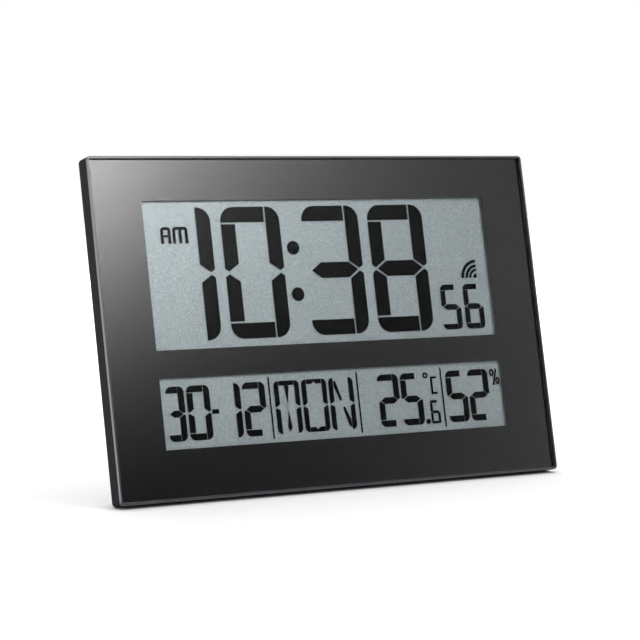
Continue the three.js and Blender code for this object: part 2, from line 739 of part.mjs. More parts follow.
function displayCarrier() {
  const body = join(
    slab(
      [-carrierHalfWidth, carrierHalfWidth],
      [calendarGlass.y[0] - carrier.edge, timeGlass.y[1] + carrier.edge],
      [carrierBack, carrierFront],
    ),
    ...boardPostPlaces.map(([x, y]) => rodAlongZ(
      board.post, x, y, [boardFront + fit, carrierBack + carrier.web / 2],
    )),
  );
  const pocket = slab(
    [-displayBoardHalf - fit, displayBoardHalf + fit],
    [displayBoardRows[0] - fit, displayBoardRows[1] + fit],
    [carrierBack + carrier.web, carrierFront + overrun],
  );
  const slot = slab(
    [-ribbon.halfWide - carrier.slotSide, ribbon.halfWide + carrier.slotSide],
    [displayBoardMiddle - carrier.slotTall / 2, displayBoardMiddle + carrier.slotTall / 2],
    [carrierBack - overrun, carrierFront + overrun],
  );
  const screwHoles = carrierScrewPlaces.map(([x, y]) => rodAlongZ(
    smallScrew.shank + fit, x, y, [carrierBack - overrun, carrierFront + overrun],
  ));
  const boardHoles = boardPostPlaces.map(([x, y]) => rodAlongZ(
    smallScrew.shank + fit, x, y, [boardBack - overrun, boardShankTip + fit],
  ));
  return cut(body, pocket, slot, ...screwHoles, ...boardHoles);
}

function displayBoardBody() {
  return slab([-displayBoardHalf, displayBoardHalf], displayBoardRows, [displayBoardBack, displayBoardFront]);
}

// Electronics

function mainBoard() {
  const body = slab([board.left, board.right], [board.bottom, board.top], [boardBack, boardFront]);
  const holes = boardPostPlaces.map(([x, y]) => rodAlongZ(
    smallScrew.shank + fit, x, y, [boardBack - overrun, boardFront + overrun],
  ));
  return cut(body, ...holes);
}

function addBoardParts(group) {
  const seat = boardBack - fit;
  piece(group, 'clock_chip', slab(
    [chip.x - chip.half, chip.x + chip.half],
    [chip.y - chip.half, chip.y + chip.half],
    [seat - chip.thick, seat],
  ), looks.chip);
  piece(group, 'clock_crystal', rodAlongX(
    crystal.radius, [crystal.x, crystal.x + crystal.length], crystal.y, seat - crystal.radius, smallSides,
  ), looks.steel);
  piece(group, 'supply_capacitor', rodAlongZ(
    capacitor.radius, capacitor.x, capacitor.y, [seat - capacitor.tall, seat], roundSides,
  ), looks.chip);
  piece(group, 'climate_sensor', slab(
    [sensorX - sensor.half, sensorX + sensor.half],
    [sensorY - sensor.half, sensorY + sensor.half],
    [seat - sensor.thick, seat],
  ), looks.carrier);
}

function addAntenna(group) {
  const start = antenna.x - antenna.length / 2;
  const end = antenna.x + antenna.length / 2;
  const coilEnds = [antenna.x - antenna.coilLength / 2, antenna.x + antenna.coilLength / 2];
  piece(group, 'ferrite_rod', rodAlongX(antenna.rod, [start, end], antennaY, antennaZ), looks.ferrite);
  piece(group, 'antenna_coil', cut(
    rodAlongX(antenna.coil, coilEnds, antennaY, antennaZ),
    rodAlongX(antenna.rod + fit, [start - overrun, end + overrun], antennaY, antennaZ),
  ), looks.copper);
  const clips = { left: start + antenna.clip, right: end - 2 * antenna.clip };
  for (const [side, x] of Object.entries(clips)) {
    piece(group, `antenna_clip_${side}`, cut(
      slab(
        [x, x + antenna.clip],
        [antennaY - antenna.clipHalf, antennaY + antenna.clipHalf],
        [housingInside + fit, antennaZ + antenna.clipHalf],
      ),
      rodAlongX(antenna.rod + fit, [start - overrun, end + overrun], antennaY, antennaZ),
    ), looks.carrier);
  }
  const coilFoot = antennaY - antenna.coil - fit;
  piece(group, 'antenna_lead', tube([
    [antenna.x, coilFoot, antennaZ],
    [antenna.x, (coilFoot + board.top) / 2, antennaZ],
    [antenna.x, board.top, boardBack - lead.lift],
    [antenna.x, board.top - board.inset, boardBack - fit - lead.radius],
  ], lead.radius), looks.copper);
}

function addWiring(group) {
  const seat = boardBack - fit - lead.radius;
  const start = bayStart - contact.tab - bay.wall - fit;
  const names = ['red', 'black'];
  batteryRows.forEach((y, index) => {
    const landing = boardPostPlaces[3][1] - (index + 1) * chip.half;
    piece(group, `battery_lead_${names[index]}`, tube([
      [start, y, batteryZ],
      [start - lead.lift, y, batteryZ],
      [recessOutside, (y + landing) / 2, seat - lead.radius],
      [board.right - board.inset, landing, seat],
    ], lead.radius), names[index] === 'red' ? looks.red : looks.wire);
  });
  piece(group, 'display_ribbon', slab(
    [-ribbon.halfWide, ribbon.halfWide],
    [displayBoardMiddle - ribbon.thick / 2, displayBoardMiddle + ribbon.thick / 2],
    [boardFront + fit, displayBoardBack - fit],
  ), looks.copper);
}

// Rear cover

function coverShell() {
  const rounds = [1, (1 + roundSplit) / 2, roundSplit, 0].map((share) => {
    const angle = share * (Math.PI / 2);
    const inset = cover.rearRound * (1 - Math.cos(angle));
    return {
      halfWidth: faceHalfWidth - inset,
      halfHeight: faceHalfHeight - inset,
      radius: cover.corner - inset,
      z: backOutside + cover.rearRound * (1 - Math.sin(angle)),
    };
  });
  const front = { ...rounds[rounds.length - 1], z: coverFront };
  return cut(
    stack([...rounds, front]),
    faceSlab(cover.wall, cover.innerCorner, [backInside, overrun]),
    faceSlab(cover.lip, cover.corner - cover.lip, [plateBack - fit, overrun]),
  );
}

function housingStack(inset, radius, z) {
  const halfWidth = housingHalf - inset;
  const halfHeight = (housing.top - housing.bottom) / 2 - inset;
  const y = (housing.top + housing.bottom) / 2;
  return stack(z.map((level, index) => {
    const chamfer = index === 0 && inset === 0 ? housing.chamfer : 0;
    return {
      halfWidth: halfWidth - chamfer,
      halfHeight: halfHeight - chamfer,
      radius: radius - chamfer,
      y,
      z: level,
    };
  }));
}

function housingBox() {
  return housingStack(0, housing.corner, [housingOutside, housingOutside + housing.chamfer, backInside]);
}

function keyholeOutline(side) {
  const x = side * keyholeX;
  const shape = new THREE.Shape();
  const meet = Math.asin(keyhole.slot / keyhole.head);
  shape.absarc(x, keyholeY, keyhole.head, Math.PI / 2 + meet, Math.PI / 2 - meet + 2 * Math.PI);
  shape.absarc(x, keyholeY + keyhole.rise, keyhole.slot, 0, Math.PI);
  return shape;
}

function keyholePocketBox(side, grow) {
  const x = side * keyholeX;
  const half = keyholePocket.half + grow;
  return slab(
    [x - half, x + half],
    [keyholeY - keyholePocket.down - grow, keyholeY + keyholePocket.up + grow],
    [housingInside - (grow > 0 ? cover.wall / 2 : 0), housingInside + keyholePocket.depth + grow],
  );
}

function bayTub() {
  return slab(
    [bayStart - bay.wall, housingHalf - cover.wall / 2],
    [bay.y - bayHalf - bay.wall, bay.y + bayHalf + bay.wall],
    [housingInside - cover.wall / 2, bayFloor + bay.wall],
  );
}

function bayCuts() {
  const cavity = slab(
    [bayStart, bayEnd],
    [bay.y - bayHalf, bay.y + bayHalf],
    [housingOutside - overrun, bayFloor],
  );
  const channel = slab(
    [doorStart - fit, housingHalf + overrun],
    [bay.y - doorHalf - fit, bay.y + doorHalf + fit],
    [housingOutside - overrun, doorInside + fit],
  );
  const grooves = slab(
    [doorStart - fit, housingHalf + overrun],
    [bay.y - doorHalf - door.tongue - fit, bay.y + doorHalf + door.tongue + fit],
    [doorInside - door.tongueThick - fit, doorInside + fit],
  );
  const tabSlots = batteryRows.map((y) => slab(
    [bayStart - bay.wall - overrun, bayStart + fit],
    [y - contact.tab - fit, y + contact.tab + fit],
    [batteryZ - contact.tabThick / 2 - fit, batteryZ + contact.tabThick / 2 + fit],
  ));
  return [cavity, channel, grooves, ...tabSlots];
}

function doorSeat() {
  // The floor of the channel that the door runs in.
  const half = doorHalf + door.tongue + fit + bay.wall;
  return slab(
    [doorStart - fit - bay.wall, housingHalf - cover.wall / 2],
    [bay.y - half, bay.y + half],
    [housingInside - cover.wall / 2, doorInside + fit + bay.wall],
  );
}

function standRecess() {
  const outer = slab(
    [-recessOutside, recessOutside],
    [housing.bottom + cover.wall / 2, recessTop + recess.wall],
    [housingInside - cover.wall / 2, recessFloor + recess.wall],
  );
  const inner = slab(
    [-recessHalf, recessHalf],
    [housing.bottom - overrun, recessTop],
    [housingOutside - overrun, recessFloor],
  );
  const pinHole = rodAlongX(
    hinge.pin + fit, [-recessOutside - overrun, recessOutside + overrun], hingeY, hingeZ,
  );
  return { outer, inner, pinHole };
}

function ventSlots() {
  const slots = [];
  for (let index = 0; index < ventCount; index += 1) {
    const y = sensorY + (index - (ventCount - 1) / 2) * vent.pitch;
    slots.push(slab(
      [ventEnd - vent.long, ventEnd],
      [y - vent.wide / 2, y + vent.wide / 2],
      [housingOutside - overrun, housingInside + overrun],
    ));
  }
  return slots;
}

function buttonPosts() {
  return buttonPostPlaces.map(([x, y]) => rodAlongZ(
    buttonBoard.post, x, y, [housingInside - cover.wall / 2, buttonBoardRear - fit],
  ));
}

function rearCover() {
  const { outer, inner, pinHole } = standRecess();
  const shell = coverShell();
  const hollow = housingStack(cover.wall, housing.innerCorner, [housingInside, backInside + fit]);
  const screwTubes = screwPlaces.map(([x, y]) => rodAlongZ(
    coverBore.tube, x, y, [backInside - cover.wall / 2, bossBack - fit],
  ));
  const screwHoles = screwPlaces.map(([x, y]) => rodAlongZ(
    coverScrew.shank + 2 * fit, x, y, [backOutside - overrun, overrun],
  ));
  const sinks = screwPlaces.map(([x, y]) => rodAlongZ(
    coverBore.radius, x, y, [backOutside - overrun, backOutside + coverBore.sink],
  ));
  const pockets = [-1, 1].map((side) => keyholePocketBox(side, keyholePocket.wall));
  const keyholeCuts = [-1, 1].flatMap((side) => [
    keyholePocketBox(side, 0),
    prism(keyholeOutline(side), [housingOutside - overrun, housingInside + fit]),
  ]);
  const buttonHoles = buttonPlaces.map(({ x, y }) => rodAlongZ(
    button.radius + fit, x, y, [housingOutside - overrun, housingInside + overrun], roundSides,
  ));
  const hollowed = cut(join(shell, housingBox()), hollow);
  const built = join(hollowed, outer, bayTub(), doorSeat(), ...pockets, ...screwTubes, ...buttonPosts());
  return cut(built, inner, pinHole, ...bayCuts(), ...screwHoles, ...sinks, ...keyholeCuts,
    ...buttonHoles, ...ventSlots());
}

// Battery bay

function batteryDoor() {
  const end = housingHalf - fit;
  const wide = slab(
    [doorStart, end],
    [bay.y - doorHalf - door.tongue, bay.y + doorHalf + door.tongue],
    [doorInside - door.tongueThick, doorInside],
  );
  const narrow = slab([doorStart, end], [bay.y - doorHalf, bay.y + doorHalf], [housingOutside, doorInside]);
  const ribs = [];
  for (let index = 0; index < doorRibCount; index += 1) {
    const x = end - cover.wall - 2 * (index + 1) * door.rib;
    ribs.push(slab(
      [x, x + door.rib],
      [bay.y - bayHalf / 2, bay.y + bayHalf / 2],
      [housingOutside - overrun, housingOutside + door.ribDeep],
    ));
  }
  return cut(join(wide, narrow).intersect(housingBox()), ...ribs);
}

function batteryBody(x, y, turned) {
  // The case, and the nub of the plus pole at its left end, or at its right end when turned.
  const caseLength = battery.length - battery.nubTall;
  const caseStart = turned ? x : x + battery.nubTall;
  const nub = turned ? [x + caseLength / 2, x + battery.length] : [x, x + caseLength / 2];
  return join(
    rodAlongX(battery.radius, [caseStart, caseStart + caseLength], y, batteryZ),
    rodAlongX(battery.nub, nub, y, batteryZ),
  );
}

function contactPlate(x, y) {
  return slab(
    [x, x + contact.thick],
    [y - contact.halfWidth, y + contact.halfWidth],
    [batteryZ - contact.halfTall, batteryZ + contact.halfTall],
  );
}

function contactSpring(x, y) {
  return cut(
    rodAlongX(spring.radius, x, y, batteryZ, smallSides),
    rodAlongX(spring.radius - spring.wall, [x[0] - overrun, x[1] + overrun], y, batteryZ, smallSides),
  );
}

function contactTab(y) {
  return slab(
    [bayStart - bay.wall - contact.tab, leftPlate + contact.thick],
    [y - contact.tab, y + contact.tab],
    [batteryZ - contact.tabThick / 2, batteryZ + contact.tabThick / 2],
  );
}

function addBatteries(group) {
  const [upper, lower] = batteryRows;
  const leftBattery = leftPlate + contact.thick + fit;
  const rightBattery = rightPlate - fit - battery.length;
  const springIn = contact.thick / 2;
  piece(group, 'battery_upper', batteryBody(leftBattery, upper, false), looks.batteryCase);
  piece(group, 'battery_lower', batteryBody(rightBattery, lower, true), looks.batteryCase);
  piece(group, 'battery_plus_contact', join(contactPlate(leftPlate, upper), contactTab(upper)), looks.steel);
  piece(group, 'battery_minus_contact', join(
    contactPlate(leftPlate, lower),
    contactTab(lower),
    contactSpring([leftPlate + springIn, rightBattery - fit], lower),
  ), looks.steel);
  piece(group, 'battery_bridge_contact', join(
    contactPlate(rightPlate, upper),
    contactPlate(rightPlate, lower),
    slab(
      [rightPlate, rightPlate + contact.thick],
      [lower, upper],
      [batteryZ - contact.tab, batteryZ + contact.tab],
    ),
    contactSpring([leftBattery + battery.length + fit, rightPlate + springIn], upper),
  ), looks.steel);
}

// Buttons

function pushButton(x, y) {
  return join(
    rodAlongZ(button.radius, x, y, [housingOutside + button.sunk, flangeFront], roundSides),
    rodAlongZ(flangeRadius, x, y, [flangeRear, flangeFront], roundSides),
  );
}

function addButtonSwitches(group) {
  const sheet = slab(buttonSheet.x, buttonSheet.y, [keypadRear, keypadFront]);
  const domes = buttonPlaces.map(({ x, y }) => rodAlongZ(
    keypad.dome, x, y, [keypadRear - keypad.domeRise, keypadFront],
  ));
  const x = [buttonSheet.x[0] - buttonBoard.over, buttonSheet.x[1] + buttonBoard.over];
  const y = [buttonSheet.y[0] - buttonBoard.over, buttonSheet.y[1] + buttonBoard.over];
  piece(group, 'button_keypad', join(sheet, ...domes), looks.paleRubber);
  piece(group, 'button_board', slab(x, y, [buttonBoardRear, buttonBoardFront]), looks.board);
  const from = [x[1] + fit, (buttonBoardRear + buttonBoardFront) / 2];
  const to = [board.left - fit, (boardBack + boardFront) / 2];
  const middle = (from[0] + to[0]) / 2;
  const outline = shapeOf([
    [from[0], from[1] - ribbon.thick / 2],
    [middle, from[1] - ribbon.thick / 2],
    [to[0], to[1] - ribbon.thick / 2],
    [to[0], to[1] + ribbon.thick / 2],
    [middle - ribbon.thick, from[1] + ribbon.thick / 2],
    [from[0], from[1] + ribbon.thick / 2],
  ]);
  const strip = new THREE.ExtrudeGeometry(outline, { depth: 2 * ribbon.buttonHalfWide, bevelEnabled: false });
  strip.rotateX(Math.PI / 2);
  strip.translate(0, board.top - board.inset, 0);
  piece(group, 'button_ribbon', solid(strip), looks.copper);
}

// Stand, drawn with its hinge at the origin and the leg pointing down

function standLeg() {
  const half = leg.thick / 2;
  const foot = -(leg.reach - sole.thick);
  const outline = new THREE.Shape();
  outline.moveTo(-leg.halfWidth, heel);
  outline.lineTo(-leg.halfWidth, foot + leg.corner);
  outline.absarc(-leg.halfWidth + leg.corner, foot + leg.corner, leg.corner, Math.PI, 1.5 * Math.PI);
  outline.absarc(leg.halfWidth - leg.corner, foot + leg.corner, leg.corner, 1.5 * Math.PI, 2 * Math.PI);
  outline.lineTo(leg.halfWidth, heel);
  const rear = [-half - leg.rib, -half / 2];
  const ribTop = -hinge.barrel - leg.ribInset;
  const ribBottom = foot + leg.corner + leg.ribInset;
  const ribs = [-1, 0, 1].map((side) => {
    const x = side * (leg.halfWidth - leg.ribInset);
    return slab([x - leg.ribWide / 2, x + leg.ribWide / 2], [ribBottom, ribTop], rear);
  });
  return cut(
    join(
      prism(outline, [-half, half]),
      rodAlongX(hinge.barrel, [-leg.halfWidth, leg.halfWidth], 0, 0),
      ...ribs,
    ),
    rodAlongX(hinge.pin + fit, [-leg.halfWidth - overrun, leg.halfWidth + overrun], 0, 0),
  );
}

function footPad() {
  const top = -(leg.reach - sole.thick) - fit;
  const slope = Math.tan(legTilt);
  const width = leg.halfWidth - sole.inset - leg.corner;
  return alongX([
    [top, sole.half],
    [top, -sole.half],
    [-leg.reach - sole.half * slope, -sole.half],
    [-leg.reach + sole.half * slope, sole.half],
  ], [-width, width]);
}

// Screws

function coverScrewBody(x, y) {
  return join(
    rodAlongZ(coverScrew.head, x, y, [coverScrewSeat - coverScrew.headTall, coverScrewSeat]),
    rodAlongZ(coverScrew.shank, x, y, [coverScrewSeat - coverScrew.headTall / 2, coverShankTip]),
  );
}

function smallScrewBody(x, y, seat, tip) {
  return join(
    rodAlongZ(smallScrew.head, x, y, [seat - smallScrew.headTall, seat]),
    rodAlongZ(smallScrew.shank, x, y, [seat - smallScrew.headTall / 2, tip]),
  );
}

// Assembly

function buildBody(group) {
  piece(group, 'front_frame', frontFrame(), looks.black);
  piece(group, 'front_lens', frontLens(), looks.clear);
  piece(group, 'lens_mask', lensMask(), looks.glossBlack);
  addCell(group, 'time', timeGlass, timeRear, timeReadout(timeWindow));
  addCell(group, 'calendar', calendarGlass, calendarRear, calendarReadout(calendarWindow));
  piece(group, 'time_zebra_strip', zebraStrip(timeZebra), looks.rubber);
  piece(group, 'calendar_zebra_strip', zebraStrip(calendarZebra), looks.rubber);
  piece(group, 'display_board', displayBoardBody(), looks.board);
  piece(group, 'display_carrier', displayCarrier(), looks.carrier);
  piece(group, 'main_board', mainBoard(), looks.board);
  addBoardParts(group);
  addAntenna(group);
  addWiring(group);
  piece(group, 'rear_cover', rearCover(), looks.black);
  piece(group, 'battery_door', batteryDoor(), looks.black);
  addBatteries(group);
  for (const { name, x, y } of buttonPlaces) {
    piece(group, `button_${name}`, pushButton(x, y), looks.rubber);
  }
  addButtonSwitches(group);
}

function buildScrews(group) {
  screwPlaces.forEach(([x, y], index) => {
    piece(group, `cover_screw_${index + 1}`, coverScrewBody(x, y), looks.darkSteel);
  });
  carrierScrewPlaces.forEach(([x, y], index) => {
    const body = smallScrewBody(x, y, carrierBack - fit, carrierShankTip);
    piece(group, `carrier_screw_${index + 1}`, body, looks.steel);
  });
  const used = [boardPostPlaces[0], boardPostPlaces[3]];
  used.forEach(([x, y], index) => {
    const body = smallScrewBody(x, y, boardBack - fit, boardShankTip);
    piece(group, `board_screw_${index + 1}`, body, looks.steel);
  });
}

function buildStand(group) {
  const stand = new THREE.Group();
  stand.position.set(0, hingeY, hingeZ);
  stand.rotation.x = openAngle;
  group.add(stand);
  piece(stand, 'stand', standLeg(), looks.black);
  piece(stand, 'stand_foot_pad', footPad(), looks.rubber);
  const pinEnd = recessHalf + recess.wall - fit;
  piece(group, 'stand_pin', rodAlongX(hinge.pin, [-pinEnd, pinEnd], hingeY, hingeZ, smallSides), looks.steel);
}

const leaning = new THREE.Group();
leaning.rotation.x = Math.PI / 2 - lean;
buildBody(leaning);
buildScrews(leaning);
buildStand(leaning);

const clock = new THREE.Group();
clock.name = 'radio_controlled_wall_clock';
clock.add(leaning);
clock.updateMatrixWorld(true);
const bounds = new THREE.Box3().setFromObject(clock, true);
leaning.position.y = -(bounds.min.y + bounds.max.y) / 2;
leaning.position.z = -floorLevel;
clock.updateMatrixWorld(true);

export default clock;
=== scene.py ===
"""Looks of the radio-controlled wall clock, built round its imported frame.

Every piece is drawn in the frame of the face, in millimetres: x to the right, y up the face and
z out of the face, from the middle of the front of the rim. place() turns that into row metres.
"""
import math

import bmesh
import bpy
import numpy as np
from bpy.props import FloatProperty, FloatVectorProperty, PointerProperty
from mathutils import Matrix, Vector


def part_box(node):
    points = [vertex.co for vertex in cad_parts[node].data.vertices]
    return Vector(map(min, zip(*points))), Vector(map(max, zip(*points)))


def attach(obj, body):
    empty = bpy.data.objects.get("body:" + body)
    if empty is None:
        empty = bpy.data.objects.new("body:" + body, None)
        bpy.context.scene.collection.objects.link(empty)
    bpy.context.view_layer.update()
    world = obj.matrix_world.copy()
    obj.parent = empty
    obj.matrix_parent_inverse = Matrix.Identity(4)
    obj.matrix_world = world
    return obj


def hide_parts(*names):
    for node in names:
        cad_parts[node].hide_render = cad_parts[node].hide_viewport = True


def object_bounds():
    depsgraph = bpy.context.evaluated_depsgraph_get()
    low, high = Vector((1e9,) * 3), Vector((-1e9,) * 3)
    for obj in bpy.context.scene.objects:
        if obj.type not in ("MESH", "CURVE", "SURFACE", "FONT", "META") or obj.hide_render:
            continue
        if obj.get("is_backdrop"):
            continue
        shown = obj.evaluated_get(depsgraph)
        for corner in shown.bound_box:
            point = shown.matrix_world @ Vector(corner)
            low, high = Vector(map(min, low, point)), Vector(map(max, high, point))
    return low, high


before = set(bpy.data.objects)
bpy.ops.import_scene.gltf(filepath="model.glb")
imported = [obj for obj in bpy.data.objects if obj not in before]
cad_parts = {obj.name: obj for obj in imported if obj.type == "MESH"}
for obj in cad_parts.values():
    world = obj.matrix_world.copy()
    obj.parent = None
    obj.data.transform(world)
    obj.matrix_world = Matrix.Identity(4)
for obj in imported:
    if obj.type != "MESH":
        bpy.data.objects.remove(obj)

bl_info = {
    "name": "Radio-controlled wall clock",
    "version": (1, 0, 0),
    "blender": (4, 5, 0),
    "location": "3D View > Sidebar > Clock",
    "description": "Dresses the packed clock: rim, lens, readouts, shell, stand and stage",
    "category": "Object",
}

CAD_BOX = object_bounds()
MM = 0.001


def linear(code):
    """An sRGB hex colour as linear red, green and blue."""
    values = np.array([int(code[i:i + 2], 16) for i in (0, 2, 4)]) / 255
    curved = ((values + 0.055) / 1.055) ** 2.4
    return tuple(np.where(values <= 0.04045, values / 12.92, curved).tolist())


def length(label, text, millimetres):
    """A length in metres whose default is given in millimetres."""
    return FloatProperty(name=label, description=text, default=millimetres * MM, unit="LENGTH")


def colour(label, text, code):
    """A colour whose default is given as sRGB hex."""
    return FloatVectorProperty(
        name=label, description=text, default=linear(code), subtype="COLOR", size=3)


class ClockSizes(bpy.types.PropertyGroup):
    """Real sizes of the pieces that are made here."""
    chamfer: length("Rim chamfer", "Width of the chamfer round the face", 0.8)
    land: length("Rim land", "Flat of the rim inside the chamfer", 1.2)
    rim_corner: length("Rim corner", "Corner radius of the body", 3.0)
    parting: length("Rim edge", "Depth from the face to the back of the rim's edge", 1.6)
    groove: length("Groove", "Depth of the parting groove behind the rim", 1.0)
    skirt: length("Skirt", "Depth from the face to the back of the front moulding", 6.0)
    break_edge: length("Broken edge", "Rounding of a moulded outer edge", 0.3)
    ink: length("Ink", "Thickness of the display's segments", 0.1)


class ClockColours(bpy.types.PropertyGroup):
    """Colours of the finishes that show."""
    shell: colour("Shell", "Spark-textured moulded shell", "25262a")
    rim: colour("Rim", "Polished rim", "383b42")
    print_black: colour("Print", "Black print behind the lens", "0c0d0e")
    segment: colour("Segment", "Lit segments of the display", "070808")
    reflector: colour("Reflector", "Diffusing film behind the display", "8d9496")
    rubber: colour("Rubber", "Push buttons and foot", "45484c")
    floor: colour("Floor", "Plain floor", "fcfcfc")


# The face in the row frame

LEAN = math.radians(12.4)
FACE_AXES = np.array([
    [1, 0, 0],
    [0, math.sin(LEAN), math.cos(LEAN)],
    [0, -math.cos(LEAN), math.sin(LEAN)],
])


def node_points(node):
    """The vertices of a CAD node in row metres."""
    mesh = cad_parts[node].data
    points = np.empty(len(mesh.vertices) * 3)
    mesh.vertices.foreach_get("co", points)
    return points.reshape(-1, 3)


def face_origin():
    """Row position, in metres, of the middle of the front of the rim."""
    points = node_points("front_frame") @ FACE_AXES.T
    low, high = points.min(axis=0), points.max(axis=0)
    return np.array([(low[0] + high[0]) / 2, (low[1] + high[1]) / 2, high[2]]) @ FACE_AXES


FACE_ORIGIN = face_origin()


def place(points):
    """Face millimetres to row metres, for an array of any shape whose last axis is x, y, z."""
    return FACE_ORIGIN + (np.asarray(points, float) * MM) @ FACE_AXES


def row_to_face(node):
    """The vertices of a CAD node in face millimetres."""
    return ((node_points(node) - FACE_ORIGIN) @ FACE_AXES.T) / MM


def face_depth(node):
    """Lowest and highest z of a CAD node in face millimetres."""
    z = row_to_face(node)[:, 2]
    return z.min(), z.max()


def node_round(node):
    """Centre, lowest and highest z and radius of a round CAD node whose axis is the face's z."""
    points = row_to_face(node)
    low, high = points.min(axis=0), points.max(axis=0)
    centre = (low + high)[:2] / 2
    return centre, low[2], high[2], (high[0] - low[0]) / 2


def face_half_height():
    """Half the height of the front frame up the face, in millimetres."""
    return np.ptp(row_to_face("front_frame")[:, 1]) / 2


# Meshes

def new_piece(name, vertices, faces, body, smooth_angle=35):
    """An object at the origin from row coordinates and faces, riding on a body."""
    mesh = bpy.data.meshes.new(name)
    mesh.from_pydata(np.reshape(vertices, (-1, 3)).tolist(), [], faces)
    return finish_piece(name, mesh, body, smooth_angle)


def finish_piece(name, mesh, body, smooth_angle=35):
    """Merges doubles, turns the faces outwards, smooths shallow edges and rides on the body."""
    work = bmesh.new()
    work.from_mesh(mesh)
    bmesh.ops.remove_doubles(work, verts=work.verts, dist=1e-6)
    bmesh.ops.recalc_face_normals(work, faces=work.faces)
    for face in work.faces:
        face.smooth = True
    limit = math.radians(smooth_angle)
    for edge in work.edges:
        edge.smooth = edge.is_manifold and edge.calc_face_angle(0) < limit
    work.to_mesh(mesh)
    work.free()
    piece = bpy.data.objects.new(name, mesh)
    bpy.context.scene.collection.objects.link(piece)
    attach(piece, body)
    return piece


def grid_faces(rows, columns, close_rows, close_columns, start=0):
    """Quads of a grid of rows by columns of vertices, joined round where a side is closed."""
    row = np.arange(rows if close_rows else rows - 1)
    column = np.arange(columns if close_columns else columns - 1)
    row, column = np.meshgrid(row, column, indexing="ij")
    next_row = (row + 1) % rows
    next_column = (column + 1) % columns
    quads = np.stack([
        row * columns + column,
        row * columns + next_column,
        next_row * columns + next_column,
        next_row * columns + column,
    ], axis=-1)
    return (quads.reshape(-1, 4) + start).tolist()


def rounded_outline(half_width, half_height, radius, steps=8):
    """Points round a rectangle with quarter circles for corners, steps + 1 to each corner."""
    quarter = np.linspace(0, math.pi / 2, steps + 1)
    angles = (np.array([-1, 0, 1, 2])[:, None] * math.pi / 2 + quarter).ravel()
    side_x = np.repeat([1, 1, -1, -1], steps + 1)
    side_y = np.repeat([-1, 1, 1, -1], steps + 1)
    x = side_x * (half_width - radius) + radius * np.cos(angles)
    y = side_y * (half_height - radius) + radius * np.sin(angles)
    return np.stack([x, y], axis=-1)


def softened(profile, radius, steps=4):
    """A closed profile whose corners are each a quadratic curve from a point before to one after.

    With corner c and its neighbours a and b, the curve is (1-t)^2 p + 2 t (1-t) c + t^2 q, where p
    and q lie the radius away from c, or a third of the side where that is shorter.
    """
    corners = np.asarray(profile, float)
    before = np.roll(corners, 1, axis=0) - corners
    after = np.roll(corners, -1, axis=0) - corners
    reach_before = np.linalg.norm(before, axis=1, keepdims=True)
    reach_after = np.linalg.norm(after, axis=1, keepdims=True)
    p = corners + before / reach_before * np.minimum(radius, reach_before / 3)
    q = corners + after / reach_after * np.minimum(radius, reach_after / 3)
    t = np.linspace(0, 1, steps + 1)[None, :, None]
    curve = (1 - t) ** 2 * p[:, None] + 2 * t * (1 - t) * corners[:, None] + t ** 2 * q[:, None]
    return curve.reshape(-1, 2)


LEAST_CORNER = 0.08


def swept_frame(half_width, half_height, corner, profile, steps=8):
    """A closed profile of (inset, depth) carried round a rounded rectangle, one ring to a point."""
    rings = []
    for inset, depth in profile:
        radius = max(corner - inset, corner * LEAST_CORNER)
        outline = rounded_outline(half_width - inset, half_height - inset, radius, steps)
        rings.append(np.column_stack([outline, np.full(len(outline), depth)]))
    rings = np.array(rings)
    return rings, grid_faces(len(rings), rings.shape[1], True, True)


def capped_stack(rings):
    """Rings of equal length joined by quads, with a flat face over the first and over the last."""
    rings = np.asarray(rings)
    levels, count = rings.shape[:2]
    faces = grid_faces(levels, count, False, True)
    faces += [list(range(count)), list(range((levels - 1) * count, levels * count))]
    return rings, faces


def flat_pane(node, corner, broken, growth):
    """A pane in the place of a node, which fills its clearance by the growth.

    It is four rounded rectangles, inset by the broken edge on both faces.
    """
    points = row_to_face(node)
    low, high = points.min(axis=0), points.max(axis=0)
    half_width, half_height = (high - low)[:2] / 2 + growth
    levels = [(broken, low[2]), (0, low[2] + broken), (0, high[2] - broken), (broken, high[2])]
    rings = []
    for inset, depth in levels:
        outline = rounded_outline(half_width - inset, half_height - inset, corner - inset)
        rings.append(np.column_stack([outline, np.full(len(outline), depth)]))
    return capped_stack(rings)


def revolved(profile, centre, sides=48):
    """A profile of (radius, z) turned round the z axis of the face through the centre."""
    turn = np.linspace(0, 2 * math.pi, sides, endpoint=False)
    radius = np.array(profile)[:, 0][:, None]
    height = np.array(profile)[:, 1][:, None]
    x = centre[0] + radius * np.cos(turn)
    y = centre[1] + radius * np.sin(turn)
    z = height + np.zeros_like(x)
    return np.stack([x, y, z], axis=-1), grid_faces(len(profile), sides, False, True)


def prisms(outlines, low, high):
    """Flat outlines in face millimetres, each given a thickness from low to high."""
    vertices = []
    faces = []
    start = 0
    for outline in outlines:
        count = len(outline)
        vertices += [np.column_stack([outline, np.full(count, z)]) for z in (low, high)]
        faces += [list(range(start + count - 1, start - 1, -1)),
                  list(range(start + count, start + 2 * count))]
        faces += grid_faces(2, count, False, True, start)
        start += 2 * count
    return np.concatenate(vertices), faces


FLAT_ANGLE = math.radians(1)
SHARP_ANGLE = math.radians(40)


